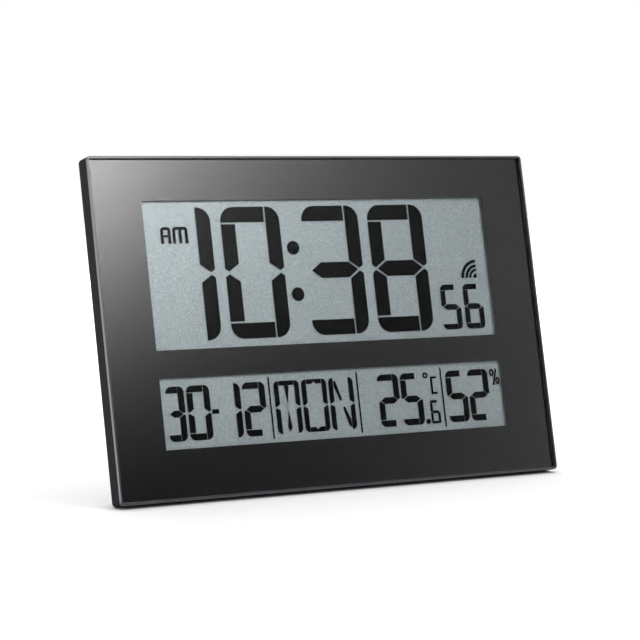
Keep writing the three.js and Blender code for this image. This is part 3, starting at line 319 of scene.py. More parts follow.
def dressed_copy(node, name, body, edge, dissolve=True):
    """The merged shell of a CAD node with its sharp edges rounded by a bevel of that width.

    Dissolving first joins the triangles of each flat face. The door goes without it, because the
    bevel would leave a sliver there.
    """
    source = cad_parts[node]
    work = bmesh.new()
    work.from_mesh(source.data)
    bmesh.ops.remove_doubles(work, verts=work.verts, dist=2e-6)
    if dissolve:
        bmesh.ops.dissolve_limit(
            work, angle_limit=FLAT_ANGLE, verts=work.verts, edges=work.edges)
    mesh = bpy.data.meshes.new(name)
    work.to_mesh(mesh)
    work.free()
    mesh.shade_smooth()
    piece = bpy.data.objects.new(name, mesh)
    bpy.context.scene.collection.objects.link(piece)
    bevel = piece.modifiers.new("broken edges", "BEVEL")
    bevel.width = edge
    bevel.segments = 2
    bevel.limit_method = "ANGLE"
    bevel.angle_limit = SHARP_ANGLE
    keep_flats(piece)
    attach(piece, body)
    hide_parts(node)
    return piece


def keep_flats(piece):
    """Lets large flat faces keep their own normal, so that only the broken edges shade as round."""
    weighted = piece.modifiers.new("flat faces", "WEIGHTED_NORMAL")
    weighted.mode = "FACE_AREA"
    weighted.weight = 100
    weighted.keep_sharp = True


HEAD_SIDES = 96
HEAD_RINGS = 26
HEAD_DOME = 0.3
HEAD_THICK = 1.2
SHANK_RADIUS = 1.3
SHANK_TOP = 1.6
CROSS_HALF = 0.36
CROSS_REACH = 0.62
CROSS_DEPTH = 0.9
CROSS_EASE = 0.1
CROSS_END_EASE = 0.15


def cross_head(centre, low, radius, high):
    """A domed head whose top is sunk along a cross, on a shank.

    At a share s of the radius the top lies at low + dome s^2, and deeper by the cross's depth where
    the smaller of |x| and |y| is within the slot and the larger is within its reach, eased at both.
    """
    turn = np.linspace(0, 2 * math.pi, HEAD_SIDES, endpoint=False)
    share = np.linspace(0.02, 1, HEAD_RINGS)[:, None]
    x, y = share * radius * np.cos(turn), share * radius * np.sin(turn)
    small, large = np.minimum(abs(x), abs(y)), np.maximum(abs(x), abs(y))
    slot = np.clip((CROSS_HALF - small) / CROSS_EASE, 0, 1)
    slot = slot * np.clip((radius * CROSS_REACH - large) / CROSS_END_EASE, 0, 1)
    z = low + HEAD_DOME * share ** 2 + CROSS_DEPTH * slot
    top = np.stack([x + centre[0], y + centre[1], z], axis=-1)
    under = np.array([(radius, low + HEAD_THICK), (SHANK_RADIUS, low + SHANK_TOP),
                      (SHANK_RADIUS, high)])
    shank, _ = revolved(under, centre, HEAD_SIDES)
    return capped_stack(np.concatenate([top, shank]))


CAP_RADIUS = 3.7
CAP_FLANGE = 1.0
CAP_EDGE = 0.3
DISH_DEPTH = 0.35
DISH_SHARE = 0.84
LIP_SHARE = 0.95
LIP_DROP = 0.05


def cap_profile(low, high, radius):
    """Radius and z of a push button, from the middle of its dished top to its underside.

    At a share s of its own radius the dish lies at low + depth (1 - s^2).
    """
    share = np.linspace(0, 1, 9)
    dish = np.column_stack([CAP_RADIUS * DISH_SHARE * share, low + DISH_DEPTH * (1 - share ** 2)])
    flange = high - CAP_FLANGE
    side = [
        [CAP_RADIUS * LIP_SHARE, low + LIP_DROP], [CAP_RADIUS, low + CAP_EDGE],
        [CAP_RADIUS, flange], [radius, flange], [radius, high], [0, high],
    ]
    return np.vstack([dish, side])


# Materials

def add(tree, kind, settings=None, links=None):
    """One node with its settings, and links from other nodes' outputs to its named inputs."""
    node = tree.nodes.new(kind)
    for key, value in (settings or {}).items():
        if isinstance(key, int) or key in node.inputs:
            node.inputs[key].default_value = value
        else:
            setattr(node, key, value)
    for key, output in (links or {}).items():
        tree.links.new(output, node.inputs[key])
    return node


def empty_material(name):
    """A node material with nothing in it but its output."""
    material = bpy.data.materials.new(name)
    material.use_nodes = True
    material.node_tree.nodes.clear()
    output = add(material.node_tree, "ShaderNodeOutputMaterial")
    return material, material.node_tree, output


def rgba(values):
    """A colour with full alpha."""
    return (*values[:3], 1.0)


def shaded(base, factor):
    """A colour times a factor, held below one, with full alpha."""
    return rgba([min(1.0, value * factor) for value in base])


def noise(tree, where, grain, detail):
    """Noise whose grains have that size in millimetres."""
    settings = {"Scale": 1 / (grain * MM), "Detail": detail}
    return add(tree, "ShaderNodeTexNoise", settings, {"Vector": where}).outputs["Fac"]


def maths(tree, operation, *inputs, kind="ShaderNodeMath", **settings):
    """The output of a maths node whose inputs are numbers, vectors or other nodes' outputs."""
    links = {i: value for i, value in enumerate(inputs) if isinstance(value, bpy.types.NodeSocket)}
    values = {i: value for i, value in enumerate(inputs) if i not in links}
    return add(tree, kind, {"operation": operation, **settings, **values}, links).outputs[0]


def vectors(tree, operation, *inputs):
    """The output of a vector maths node."""
    return maths(tree, operation, *inputs, kind="ShaderNodeVectorMath")


MOTTLE_GRAINS = 12


def moulded(name, base, roughness, grain, depth, metallic=0.0, mottle=0.12, spread=0.1, **extra):
    """A surface with a fine grain: grain is its size and depth its height, both in millimetres.

    Colour goes between base darkened and lightened by mottle, and roughness by spread, both along
    noise of a few grains; the bump is noise of one grain.
    """
    material, tree, output = empty_material(name)
    where = add(tree, "ShaderNodeTexCoord").outputs["Object"]
    fine = noise(tree, where, grain, 3.0)
    broad = noise(tree, where, MOTTLE_GRAINS * grain, 2.0)
    tint = add(tree, "ShaderNodeMix", {
        "data_type": "RGBA",
        6: shaded(base, 1 - mottle),
        7: shaded(base, 1 + mottle),
    }, {"Factor": broad})
    sheen = add(tree, "ShaderNodeMapRange", {
        "To Min": roughness - spread / 2,
        "To Max": roughness + spread / 2,
    }, {"Value": fine})
    bump = add(tree, "ShaderNodeBump", {"Strength": 1.0, "Distance": depth * MM}, {"Height": fine})
    shader = add(tree, "ShaderNodeBsdfPrincipled", {"Metallic": metallic, **extra}, {
        "Base Color": tint.outputs[2],
        "Roughness": sheen.outputs["Result"],
        "Normal": bump.outputs["Normal"],
    })
    tree.links.new(shader.outputs["BSDF"], output.inputs["Surface"])
    return material


def clear_sheet(name, tint, ior, roughness):
    """Clear sheet: it refracts and reflects, and lets shadow rays straight through."""
    material, tree, output = empty_material(name)
    shader = add(tree, "ShaderNodeBsdfPrincipled", {
        "Base Color": rgba(tint),
        "Roughness": roughness,
        "IOR": ior,
        "Transmission Weight": 1.0,
    })
    straight = add(tree, "ShaderNodeBsdfTransparent", {"Color": rgba(tint)})
    path = add(tree, "ShaderNodeLightPath")
    mix = add(tree, "ShaderNodeMixShader", {}, {"Fac": path.outputs["Is Shadow Ray"]})
    tree.links.new(shader.outputs["BSDF"], mix.inputs[1])
    tree.links.new(straight.outputs["BSDF"], mix.inputs[2])
    tree.links.new(mix.outputs["Shader"], output.inputs["Surface"])
    return material


def paint(piece, material):
    """Gives a piece its material."""
    piece.data.materials.clear()
    piece.data.materials.append(material)


def paint_node(node, material):
    """Assigns a material to the slots of a CAD node's object, leaving its mesh alone."""
    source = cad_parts[node]
    if not source.material_slots:
        source.data.materials.append(material)
    for holder in source.material_slots:
        holder.link = "OBJECT"
        holder.material = material


FOIL_GRAIN = 0.9
FOIL_STEEP = (0.35, 0.65)
FOIL_SHADE = (0.78, 1.22)
FOIL_RELIEF = 0.03


def reflecting_foil(base):
    """Diffusing film, embossed: pale grey-green and partly metallic, with grains that glint.

    The colour goes between the two shades of the base over the steep part of the noise. The grains
    are coarser than the real ones, so that they show in the picture.
    """
    material, tree, output = empty_material("diffusing film, embossed")
    where = add(tree, "ShaderNodeTexCoord").outputs["Object"]
    grain = noise(tree, where, FOIL_GRAIN, 2.0)
    level = add(tree, "ShaderNodeMapRange", {
        "From Min": FOIL_STEEP[0],
        "From Max": FOIL_STEEP[1],
    }, {"Value": grain})
    tint = add(tree, "ShaderNodeMix", {
        "data_type": "RGBA",
        6: shaded(base, FOIL_SHADE[0]),
        7: shaded(base, FOIL_SHADE[1]),
    }, {"Factor": level.outputs["Result"]})
    bump = add(tree, "ShaderNodeBump", {"Strength": 0.4, "Distance": FOIL_RELIEF * MM},
               {"Height": grain})
    shader = add(tree, "ShaderNodeBsdfPrincipled", {
        "Metallic": 0.6,
        "Roughness": 0.28,
        "Specular IOR Level": 0.0,
    }, {
        "Base Color": tint.outputs[2],
        "Normal": bump.outputs["Normal"],
    })
    tree.links.new(shader.outputs["BSDF"], output.inputs["Surface"])
    return material


# Readout: shares are of a bar's thickness, ring laps are quarter turns

ROUND = 0.92
GAP = 0.115
TIP = 0.27
SLOPE = 0.667
TIP_GAP = 0.088
RING_LAP = 0.02
LIT = {
    "0": "abcdef",
    "1": "bc",
    "2": "abged",
    "3": "abgcd",
    "5": "afgcd",
    "6": "afgedc",
    "8": "abcdefg",
}


def quarter_arc(x, y, radius, start, end, steps=10):
    """Points of a circular arc about x, y, with start and end in quarter turns."""
    angle = np.linspace(start, end, steps + 1) * math.pi / 2
    return np.column_stack([x + radius * np.cos(angle), y + radius * np.sin(angle)])


def bar_points(box, side, level, points):
    """Points measured inwards from one side of the box and outwards from its mid height."""
    left, bottom, width, height, _ = box
    points = np.asarray(points, float)
    edge = left + width if side > 0 else left
    x = edge - side * points[:, 0]
    y = bottom + height / 2 + level * points[:, 1]
    outline = np.column_stack([x, y])
    return outline[::-1] if side * level > 0 else outline


def upright(box, side, level, square=False):
    """A side bar: a slanted tip at mid height and a rounded or square outer end."""
    thick, end = box[4], box[3] / 2
    tip = TIP * thick
    if square:
        outer = [[0, end - thick * (1 + GAP)], [thick, end - thick * (1 + GAP)]]
    else:
        bow = ROUND * thick
        outer = np.vstack([quarter_arc(bow, end - bow, bow, 2, 1), [[thick, end]]])
    inner = [
        [thick, thick * TIP_GAP + (thick - tip) * SLOPE],
        [tip, thick * TIP_GAP],
        [0, thick * TIP_GAP + tip * SLOPE],
    ]
    return bar_points(box, side, level, np.vstack([inner, outer]))


def end_bar(box, level):
    """The top or bottom bar: rounded at its left end and cut square before the right side bar."""
    thick, end = box[4], box[3] / 2
    bow = ROUND * thick
    stop = box[2] - thick * (1 + GAP)
    points = np.vstack([
        [[0, end - thick]],
        quarter_arc(bow, end - bow, bow, 2, 1),
        [[stop, end], [stop, end - thick]],
    ])
    return bar_points(box, -1, level, points)


def middle_bar(box):
    """The middle bar, a long hexagon."""
    width, thick = box[2], box[4]
    tip, corner, half = 0.39 * thick, 1.09 * thick, 0.515 * thick
    return bar_points(box, -1, 1, [
        [tip, 0], [corner, -half], [width - corner, -half],
        [width - tip, 0], [width - corner, half], [corner, half],
    ])


BARS = {
    "a": lambda box: end_bar(box, 1),
    "b": lambda box: upright(box, 1, 1),
    "c": lambda box: upright(box, 1, -1),
    "d": lambda box: end_bar(box, -1),
    "e": lambda box: upright(box, -1, -1, True),
    "f": lambda box: upright(box, -1, 1, True),
    "g": middle_bar,
}


def digit(value, left, bottom, width, height, thick):
    """The lit bars of a seven-bar digit."""
    return [BARS[bar]((left, bottom, width, height, thick)) for bar in LIT[value]]


def block(left, bottom, width, height):
    """A rectangle."""
    right, top = left + width, bottom + height
    return np.array([[left, bottom], [right, bottom], [right, top], [left, top]])


def square_c(left, bottom, width, height, stroke):
    """A squared letter C of one stroke."""
    right, top, inside = left + width, bottom + height, left + stroke
    return np.array([
        [left, bottom], [right, bottom], [right, bottom + stroke], [inside, bottom + stroke],
        [inside, top - stroke], [right, top - stroke], [right, top], [left, top],
    ])


def disc(x, y, radius):
    """A round dot."""
    return quarter_arc(x, y, radius, 0, 4, 48)[:-1]


def oval_ring(x, y, wide, tall, stroke):
    """An oval ring as two halves whose ends lap, so that they share no face."""
    halves = []
    for start in (1, 3):
        outer = quarter_arc(0, 0, 1, start - RING_LAP, start + 2 + RING_LAP, 16)
        inner = outer[::-1]
        halves.append(np.vstack([
            [x, y] + outer * [wide, tall],
            [x, y] + inner * [wide - stroke, tall - stroke],
        ]))
    return halves


def arch(left, bottom, width, height, stroke, bow):
    """An arch of one stroke, open at the bottom, with rounded shoulders."""
    right, top = left + width, bottom + height
    inner = max(bow - stroke, 0.1)
    return np.vstack([
        [[left, bottom], [left + stroke, bottom]],
        quarter_arc(left + stroke + inner, top - stroke - inner, inner, 2, 1, 6),
        quarter_arc(right - stroke - inner, top - stroke - inner, inner, 1, 0, 6),
        [[right - stroke, bottom], [right, bottom]],
        quarter_arc(right - bow, top - bow, bow, 0, 1, 8),
        quarter_arc(left + bow, top - bow, bow, 1, 2, 8),
    ])


def noon_mark():
    """AM, in plain strokes."""
    stroke, bow, bottom, height = 2.25, 2.6, 60.1, 12.1
    a_left, a_width, m_left, m_width = -131.2, 8.0, -121.7, 12.0
    crossbar, stem = bottom + 4.6, m_left + (m_width - stroke) / 2
    return [
        arch(a_left, bottom, a_width, height, stroke, bow),
        block(a_left + stroke, crossbar, a_width - 2 * stroke, stroke * 0.75),
        arch(m_left, bottom, m_width, height, stroke, bow),
        block(stem, bottom, stroke, height - stroke),
    ]


def wave_mark():
    """Three quarter rings and a small wedge about their common centre."""
    x, y = 133.8, 28.6
    rings = [(13.9, 11.6), (10.1, 8.0), (6.9, 5.0)]
    wedge = 3.2
    outlines = [np.vstack([quarter_arc(x, y, outer, 1, 2, 14), quarter_arc(x, y, inner, 2, 1, 14)])
                for outer, inner in rings]
    outlines.append(np.vstack([quarter_arc(x, y, wedge, 1, 2, 8), [[x, y]]]))
    return outlines


def time_outlines():
    """The upper readout: AM, four large digits and a colon, two small digits, the wave mark."""
    large = {"bottom": -10.4, "width": 48.4, "height": 96.5, "thick": 11.4}
    small = {"bottom": -10.6, "width": 17.1, "height": 34.5, "thick": 4.2}
    outlines = noon_mark()
    for value, left in (("1", -139.1), ("0", -82.3), ("3", -15.2), ("8", 41.5)):
        outlines += digit(value, left, **large)
    for value, left in (("5", 99.0), ("6", 119.6)):
        outlines += digit(value, left, **small)
    outlines += [disc(-24.6, 55.1, 5.15), disc(-24.6, 20.6, 5.15)]
    return outlines + wave_mark()


def kite(box, level):
    """A long pointed diamond down the middle of a letter."""
    width, end = box[2], box[3] / 2
    middle = width / 2
    half, shoulder = 0.085 * width, 0.78 * end
    return bar_points(box, -1, level, [
        [middle, 0.93 * end], [middle + half, shoulder], [middle, 0.12 * end],
        [middle - half, shoulder],
    ])


def slant(box, side, level):
    """The slanted bar of an N, from a top corner to the middle."""
    width, end, thick = box[2], box[3] / 2, box[4]
    near, far = 0.88 * end, 0.12 * end
    first = thick * 1.15
    reach = first + 0.27 * width
    return bar_points(box, side, level, [
        [first, near], [first + 0.07 * width, near], [reach, far + 0.1 * end],
        [reach, far], [reach - 0.06 * width, far], [first, near - 0.22 * end],
    ])


def letter_cap(box, level, notch):
    """The top or bottom bar of a letter, with an optional notch on its inner side."""
    width, end, thick = box[2], box[3] / 2, box[4]
    first, last, middle = thick * 1.12, width - thick * 1.12, width / 2
    base = end - 0.9 * thick
    points = [[first, end], [last, end], [last, base]]
    if notch:
        half, deep = 0.5 * thick, 0.45 * thick
        points += [[middle + half, base], [middle, base + deep], [middle - half, base]]
    points.append([first, base])
    return bar_points(box, -1, level, points)


def day_outlines():
    """MON, in fourteen-bar letters."""
    outlines = []
    bottom, width, height, thick = -80.8, 20.8, 38.5, 3.8
    boxes = [(left, bottom, width, height, thick) for left in (-53.2, -30.3, -7.6)]
    for box in boxes:
        outlines += [upright(box, side, level) for side in (-1, 1) for level in (-1, 1)]
    outlines += [letter_cap(boxes[0], 1, False), kite(boxes[0], 1), kite(boxes[0], -1)]
    outlines += [letter_cap(boxes[1], 1, True), letter_cap(boxes[1], -1, True)]
    return outlines + [slant(boxes[2], -1, 1), slant(boxes[2], 1, -1)]


def calendar_outlines():
    """The lower readout: date, day, warmth and damp, with thin rules between them."""
    base = -81.1
    full = {"bottom": base, "height": 39.1, "thick": 4.75}
    outlines = digit("3", -140.0, width=14.2, **full)
    for value, left in (("0", -123.8), ("1", -99.2), ("2", -79.0), ("2", 34.2), ("5", 54.3),
                        ("5", 94.7), ("2", 114.7)):
        outlines += digit(value, left, width=18.2, **full)
    outlines += digit("6", 78.5, bottom=base, width=8.3, height=17.7, thick=1.95)
    outlines += day_outlines()
    hyphen, point = block(-104.7, -63.1, 5.4, 3.3), disc(75.5, -79.1, 2.0)
    outlines += [hyphen, point]
    outlines += [block(left, -84.0, 1.1, 44.9) for left in (-57.55, 16.45, 90.15)]
    # The degree ring and its C.
    stroke = 1.3
    outlines += oval_ring(76.8, -44.4, 2.35, 2.35, stroke)
    outlines.append(square_c(81.0, -58.9, 5.3, 13.4, 1.6))
    # The percent sign.
    outlines += oval_ring(136.8, -45.2, 2.1, 2.85, stroke)
    outlines += oval_ring(141.7, -51.6, 1.9, 2.85, stroke)
    outlines.append(np.array([[137.0, -54.8], [138.3, -54.8], [141.9, -42.3], [140.6, -42.3]]))
    return outlines


# Operators

class ClockOperator:
    """What the clock's operators share: each one's make() does its work."""
    bl_options = {"REGISTER", "UNDO"}

    def execute(self, context):
        self.make(context.scene.clock_sizes, context.scene.clock_colours)
        return {"FINISHED"}


SHELF_WIDE = 0.27
SHELF_GAP = 0.07
RIM_EASE = 0.12
WALL_MARGIN = 0.01
WALL_BELOW = 0.06
GROOVE_MARGIN = 0.02


class CLOCK_OT_rim(ClockOperator, bpy.types.Operator):
    """Front moulding: a chamfered rim carried round the face, with the groove behind it"""
    bl_idname = "clock.rim"
    bl_label = "Rim"

    def make(self, sizes, colours):
        low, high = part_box("front_frame")
        half_width = (high[0] - low[0]) / 2 / MM
        half_height = face_half_height()
        chamfer, land = sizes.chamfer / MM, sizes.land / MM
        edge, groove, skirt = sizes.parting / MM, sizes.groove / MM, sizes.skirt / MM
        inner = chamfer + land
        shelf = inner + SHELF_WIDE
        seat = face_depth("front_lens")[0] - SHELF_GAP
        profile = softened([
            (chamfer, 0), (0, -chamfer), (0, -edge), (groove, -edge), (groove, -skirt),
            (shelf, -skirt), (shelf, seat), (inner, seat), (inner, 0),
        ], RIM_EASE)
        rings, faces = swept_frame(half_width, half_height, sizes.rim_corner / MM, profile)
        piece = new_piece("front_rim", place(rings), faces, "clock")
        keep_flats(piece)
        # ABS, polished: a clean black that takes a sharp line of light on the chamfer.
        polished = moulded("ABS, polished", colours.rim, 0.18, 0.35, 0.0008, mottle=0.05,
                           spread=0.04, **{"Specular IOR Level": 1.0})
        paint(piece, polished)
        # ABS, left as moulded: dull and dark. Behind the rim's edge it is the shell's own finish;
        # on the wall round the pane its darker colour is painted shade, so that the recess reads as
        # shadow.
        dull = moulded("ABS, left as moulded, and painted shade round the pane", colours.shell, 0.55, 0.3, 0.004, mottle=0.08,
                       **{"Specular IOR Level": 0.1})
        piece.data.materials.append(dull)
        polygons = piece.data.polygons
        centres = np.empty(len(polygons) * 3)
        polygons.foreach_get("center", centres)
        x, y, z = ((centres.reshape(-1, 3) - FACE_ORIGIN) @ FACE_AXES.T / MM).T
        inset = np.minimum(half_width - abs(x), half_height - abs(y))
        # The wall round the pane takes the dark finish as painted shade in the recess.
        wall = (inset > inner - WALL_MARGIN) & (z < -WALL_BELOW)
        behind = z < -edge + GROOVE_MARGIN
        polygons.foreach_set("material_index", (wall | behind).astype(np.int32))
        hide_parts("front_frame")


LENS_CORNER = 0.8
LENS_EDGE = 0.03
LENS_GROWTH = 0.22


class CLOCK_OT_lens(ClockOperator, bpy.types.Operator):
    """Clear front pane with broken edges, and the black print behind it"""
    bl_idname = "clock.lens"
    bl_label = "Lens and print"

    def make(self, sizes, colours):
        # Acrylic, cast and coated against glare: clear, with hardly a reflection of its own. The
        # print and the segments carry the gloss of the front, which keeps noise out of the picture.
        clear = clear_sheet("acrylic, cast and coated", (1.0, 1.0, 1.0), 1.05, 0.0)
        rings, faces = flat_pane("front_lens", LENS_CORNER, LENS_EDGE, LENS_GROWTH)
        pane = new_piece("front_pane", place(rings), faces, "clock", 30)
        paint(pane, clear)
        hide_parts("front_lens")
        # Screen ink, printed: dense gloss black.
        ink = moulded("screen ink, printed", colours.print_black, 0.06, 0.5, 0.0, mottle=0.04,
                      spread=0.02, **{"Specular IOR Level": 1.0, "IOR": 1.56})
        paint_node("lens_mask", ink)


INK_BEHIND_GLASS = 0.3


class CLOCK_OT_cells(ClockOperator, bpy.types.Operator):
    """The two display cells: their glasses, reflecting foils and lit segments"""
    bl_idname = "clock.cells"
    bl_label = "Display cells"

    def make(self, sizes, colours):
        # Soda-lime glass, laminated: clear, index-matched to the film behind it.
        glass = clear_sheet("soda-lime glass, laminated", (0.975, 0.985, 0.985), 1.05, 0.0)
        foil = reflecting_foil(colours.reflector)
        # Dyed crystal, switched on: near-black and smooth.
        dark = moulded("liquid crystal, switched on", colours.segment, 0.12, 0.3, 0.0, mottle=0.04,
                       spread=0.02, **{"Specular IOR Level": 0.2})
        for prefix, outlines in (("time", time_outlines()), ("calendar", calendar_outlines())):
            paint_node(f"{prefix}_lcd_front_glass", glass)
            # The rear glass carries the diffusing film of the display on its front face.
            for node in ("rear_glass", "reflector"):
                paint_node(f"{prefix}_lcd_{node}", foil)
            front = face_depth(f"{prefix}_lcd_front_glass")[0] - INK_BEHIND_GLASS
            vertices, faces = prisms(outlines, front - sizes.ink / MM, front)
            readout = new_piece(f"{prefix}_readout", place(vertices), faces, "clock", 20)
            paint(readout, dark)
            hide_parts(f"{prefix}_lcd_segments")


class CLOCK_OT_rear(ClockOperator, bpy.types.Operator):
    """Rear shell, battery door, stand and rubber foot, with broken edges"""
    bl_idname = "clock.rear"
    bl_label = "Rear shell"

    def make(self, sizes, colours):
        # ABS, spark-textured moulding: matt black with a fine even grain.
        texture = moulded("ABS, spark-textured", colours.shell, 0.55, 0.4, 0.02, mottle=0.1,
                          spread=0.12, **{"Specular IOR Level": 0.03})
        edge = sizes.break_edge
        for node, name, body, dissolve in (
            ("rear_cover", "rear_shell", "clock", True),
            ("battery_door", "bay_door", "battery_door", False),
            ("stand", "stand_leg", "stand", True),
        ):
            paint(dressed_copy(node, name, body, edge, dissolve), texture)
        # Silicone rubber, moulded: dull dark grey.
        rubber = moulded("silicone rubber, moulded", colours.rubber, 0.7, 0.3, 0.01, mottle=0.08)
        paint(dressed_copy("stand_foot_pad", "stand_sole", "stand", edge), rubber)


class CLOCK_OT_buttons(ClockOperator, bpy.types.Operator):
    """Six push buttons with a dished top"""
    bl_idname = "clock.buttons"
    bl_label = "Buttons"

    def make(self, sizes, colours):
        rubber = bpy.data.materials["silicone rubber, moulded"]
        for name in ("set", "up", "down", "wave", "zone", "unit"):
            node = f"button_{name}"
            centre, low, high, radius = node_round(node)
            vertices, faces = revolved(cap_profile(low, high, radius), centre)
            piece = new_piece(f"{node}_cap", place(vertices), faces, node)
            paint(piece, rubber)
            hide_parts(node)


class CLOCK_OT_screws(ClockOperator, bpy.types.Operator):
    """Six cover screws with a crossed recess in a low domed head"""
    bl_idname = "clock.screws"
    bl_label = "Cover screws"

    def make(self, sizes, colours):
        # Steel, zinc-plated black: dark metal with a soft shine.
        steel = moulded("steel, black zinc", linear("6a6c70"), 0.32, 0.3, 0.004, metallic=1.0)
        for index in range(1, 7):
            node = f"cover_screw_{index}"
            centre, low, high, radius = node_round(node)
            vertices, faces = cross_head(centre, low, radius, high)
            piece = new_piece(f"{node}_head", place(vertices), faces, "clock", 50)
            paint(piece, steel)
            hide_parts(node)


class CLOCK_OT_inside(ClockOperator, bpy.types.Operator):
    """Finishes of the pieces inside the case"""
    bl_idname = "clock.inside"
    bl_label = "Inside"

    def make(self, sizes, colours):
        # Each has its colour, roughness, grain, relief, metallic share and nodes.
        finishes = {
            # Glass fibre laminate, solder-masked: satin green.
            "glass fibre laminate, masked": ("1f5a3a", 0.4, 0.5, 0.01, 0.0, (
                "display_board", "main_board", "button_board")),
            # ABS, natural white moulding.
            "ABS, natural white": ("d6d6cf", 0.5, 0.4, 0.01, 0.0, (
                "display_carrier", "antenna_clip_left", "antenna_clip_right", "climate_sensor")),
            # Epoxy, cast: dull black.
            "epoxy, cast": ("141416", 0.45, 0.4, 0.01, 0.0, ("clock_chip", "supply_capacitor")),
            # Spring steel, nickel-plated: bright.
            "spring steel, nickel-plated": ("c2c4c6", 0.24, 0.2, 0.002, 1.0, (
                "clock_crystal", "stand_pin", "battery_plus_contact", "battery_minus_contact",
                "battery_bridge_contact", "carrier_screw_1", "carrier_screw_2", "carrier_screw_3",
                "carrier_screw_4", "board_screw_1", "board_screw_2")),
            # Ferrite, sintered: dark grey and dry.
            "ferrite, sintered": ("39383a", 0.75, 0.3, 0.01, 0.0, ("ferrite_rod",)),
            # Copper wire, enamelled: warm brown metal.
            "copper wire, enamelled": ("b5683a", 0.3, 0.2, 0.01, 1.0, (
                "antenna_coil", "antenna_lead", "display_ribbon", "button_ribbon")),
            # Printed sleeve, shrunk on: smooth blue film.
            "printed sleeve, shrunk": ("2d4c84", 0.3, 0.6, 0.003, 0.2, (
                "battery_upper", "battery_lower")),
            # Conductive rubber, layered.
            "conductive rubber, layered": ("3b3d42", 0.75, 0.2, 0.01, 0.0, (
                "time_zebra_strip", "calendar_zebra_strip")),
            # Silicone rubber, moulded and left pale.
            "silicone rubber, pale": ("b9bdc1", 0.7, 0.3, 0.01, 0.0, ("button_keypad",)),
            # PVC, extruded over the wires.
            "PVC, red": ("ad201b", 0.45, 0.3, 0.004, 0.0, ("battery_lead_red",)),
            "PVC, black": ("17181a", 0.45, 0.3, 0.004, 0.0, ("battery_lead_black",)),
        }
        for name, (code, roughness, grain, relief, metallic, nodes) in finishes.items():
            finish = moulded(name, linear(code), roughness, grain, relief, metallic)
            for node in nodes:
                paint_node(node, finish)


# Stage

CAMERA_FROM_FACE = (-830.5, -1415.7, 120.9)
CAMERA_HEADING = math.radians(-30.05)
CAMERA_PITCH = math.radians(-4.869)
FOCAL_PIXELS = 2241.5
CENTRE_PIXEL = (320.0, 345.43)
PICTURE_PIXELS = 640
SENSOR = 36.0
# Each lamp's name, place and size in metres, and radiance.
LAMPS = (
    ("key lamp", (1.3, -1.7, 2.0), 1.6, 1.6),
    ("overhead lamp", (0.3, 0.5, 2.4), 3.4, 1.25),
    ("side lamp", (-2.3, -1.25, 0.65), 1.0, 3.1),
    ("back lamp", (1.0, 2.6, 0.8), 1.6, 3.2),
)


class CLOCK_OT_stage(ClockOperator, bpy.types.Operator):
    """Floor, world, lamps, the soft panel that the lens reflects, and the camera"""
    bl_idname = "clock.stage"
    bl_label = "Stage"

    def make(self, sizes, colours):
        camera = make_camera()
        make_floor(colours.floor)
        make_world()
        for settings in LAMPS:
            make_lamp(*settings)
        make_panel(camera)
        bpy.context.scene.view_settings.view_transform = "Standard"


def make_camera():
    """The camera at the photograph's place, with its heading, pitch and field."""
    data = bpy.data.cameras.new("camera")
    data.sensor_width = SENSOR
    data.lens = FOCAL_PIXELS / PICTURE_PIXELS * SENSOR
    data.shift_x = (PICTURE_PIXELS / 2 - CENTRE_PIXEL[0]) / PICTURE_PIXELS
    data.shift_y = (CENTRE_PIXEL[1] - PICTURE_PIXELS / 2) / PICTURE_PIXELS
    data.clip_end = 50
    camera = bpy.data.objects.new("camera", data)
    camera.location = Vector(FACE_ORIGIN) + Vector(CAMERA_FROM_FACE) * MM
    camera.rotation_euler = (math.pi / 2 + CAMERA_PITCH, 0, CAMERA_HEADING)
    bpy.context.scene.collection.objects.link(camera)
    bpy.context.scene.camera = camera
    return camera


FLOOR_REACH = 6.0
FLOOR_GLOW_NEAR = 0.21
NEAR_END = 0.012
FLOOR_GLOW_FAR = 0.6
FAR_START = 0.2
FAR_END = 1.6
# The glow is held back over this strip under the front edge and eases in round it: a painted
# shadow.
SHADOW_STRIP_MIDDLE = (0, -0.0315, 0)
SHADOW_STRIP_HALF = (0.183, 0.009, 0)


def make_floor(base):
    """A pale floor that turns to plain white away from a painted shadow under the front edge.

    Seen as background it glows by its distance from a strip under the front edge, the length of
    max(|p - middle| - half, 0): up to one level close by and up to a second far off. The glow held
    back over the strip and round it is painted shadow, on top of the real shade under the clock.
    """
    mesh = bpy.data.meshes.new("floor")
    corners = np.array([(-1, -1, 0), (1, -1, 0), (1, 1, 0), (-1, 1, 0)]) * FLOOR_REACH
    mesh.from_pydata(corners.tolist(), [], [(0, 1, 2, 3)])
    floor = bpy.data.objects.new("floor", mesh)
    bpy.context.scene.collection.objects.link(floor)
    material, tree, output = empty_material("floor paper")
    where = add(tree, "ShaderNodeTexCoord").outputs["Object"]
    across = vectors(tree, "ABSOLUTE", vectors(tree, "SUBTRACT", where, SHADOW_STRIP_MIDDLE))
    outside = vectors(tree, "MAXIMUM", vectors(tree, "SUBTRACT", across, SHADOW_STRIP_HALF), (0, 0, 0))
    span = add(tree, "ShaderNodeVectorMath", {"operation": "LENGTH"}, {0: outside})
    away = span.outputs["Value"]
    near = add(tree, "ShaderNodeMapRange", {
        "From Max": NEAR_END,
        "To Max": FLOOR_GLOW_NEAR,
    }, {"Value": away})
    far = add(tree, "ShaderNodeMapRange", {
        "From Min": FAR_START,
        "From Max": FAR_END,
        "To Max": FLOOR_GLOW_FAR,
    }, {"Value": away})
    glow = maths(tree, "ADD", near.outputs["Result"], far.outputs["Result"])
    shader = add(tree, "ShaderNodeBsdfPrincipled", {
        "Base Color": rgba(base),
        "Roughness": 0.9,
        "Specular IOR Level": 0.0,
        "Emission Color": (1, 1, 1, 1),
    }, {"Emission Strength": maths(tree, "MULTIPLY", background_ray(tree), glow)})
    tree.links.new(shader.outputs["BSDF"], output.inputs["Surface"])
    mesh.materials.append(material)
    floor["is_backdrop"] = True


WORLD_LIGHT = 0.36


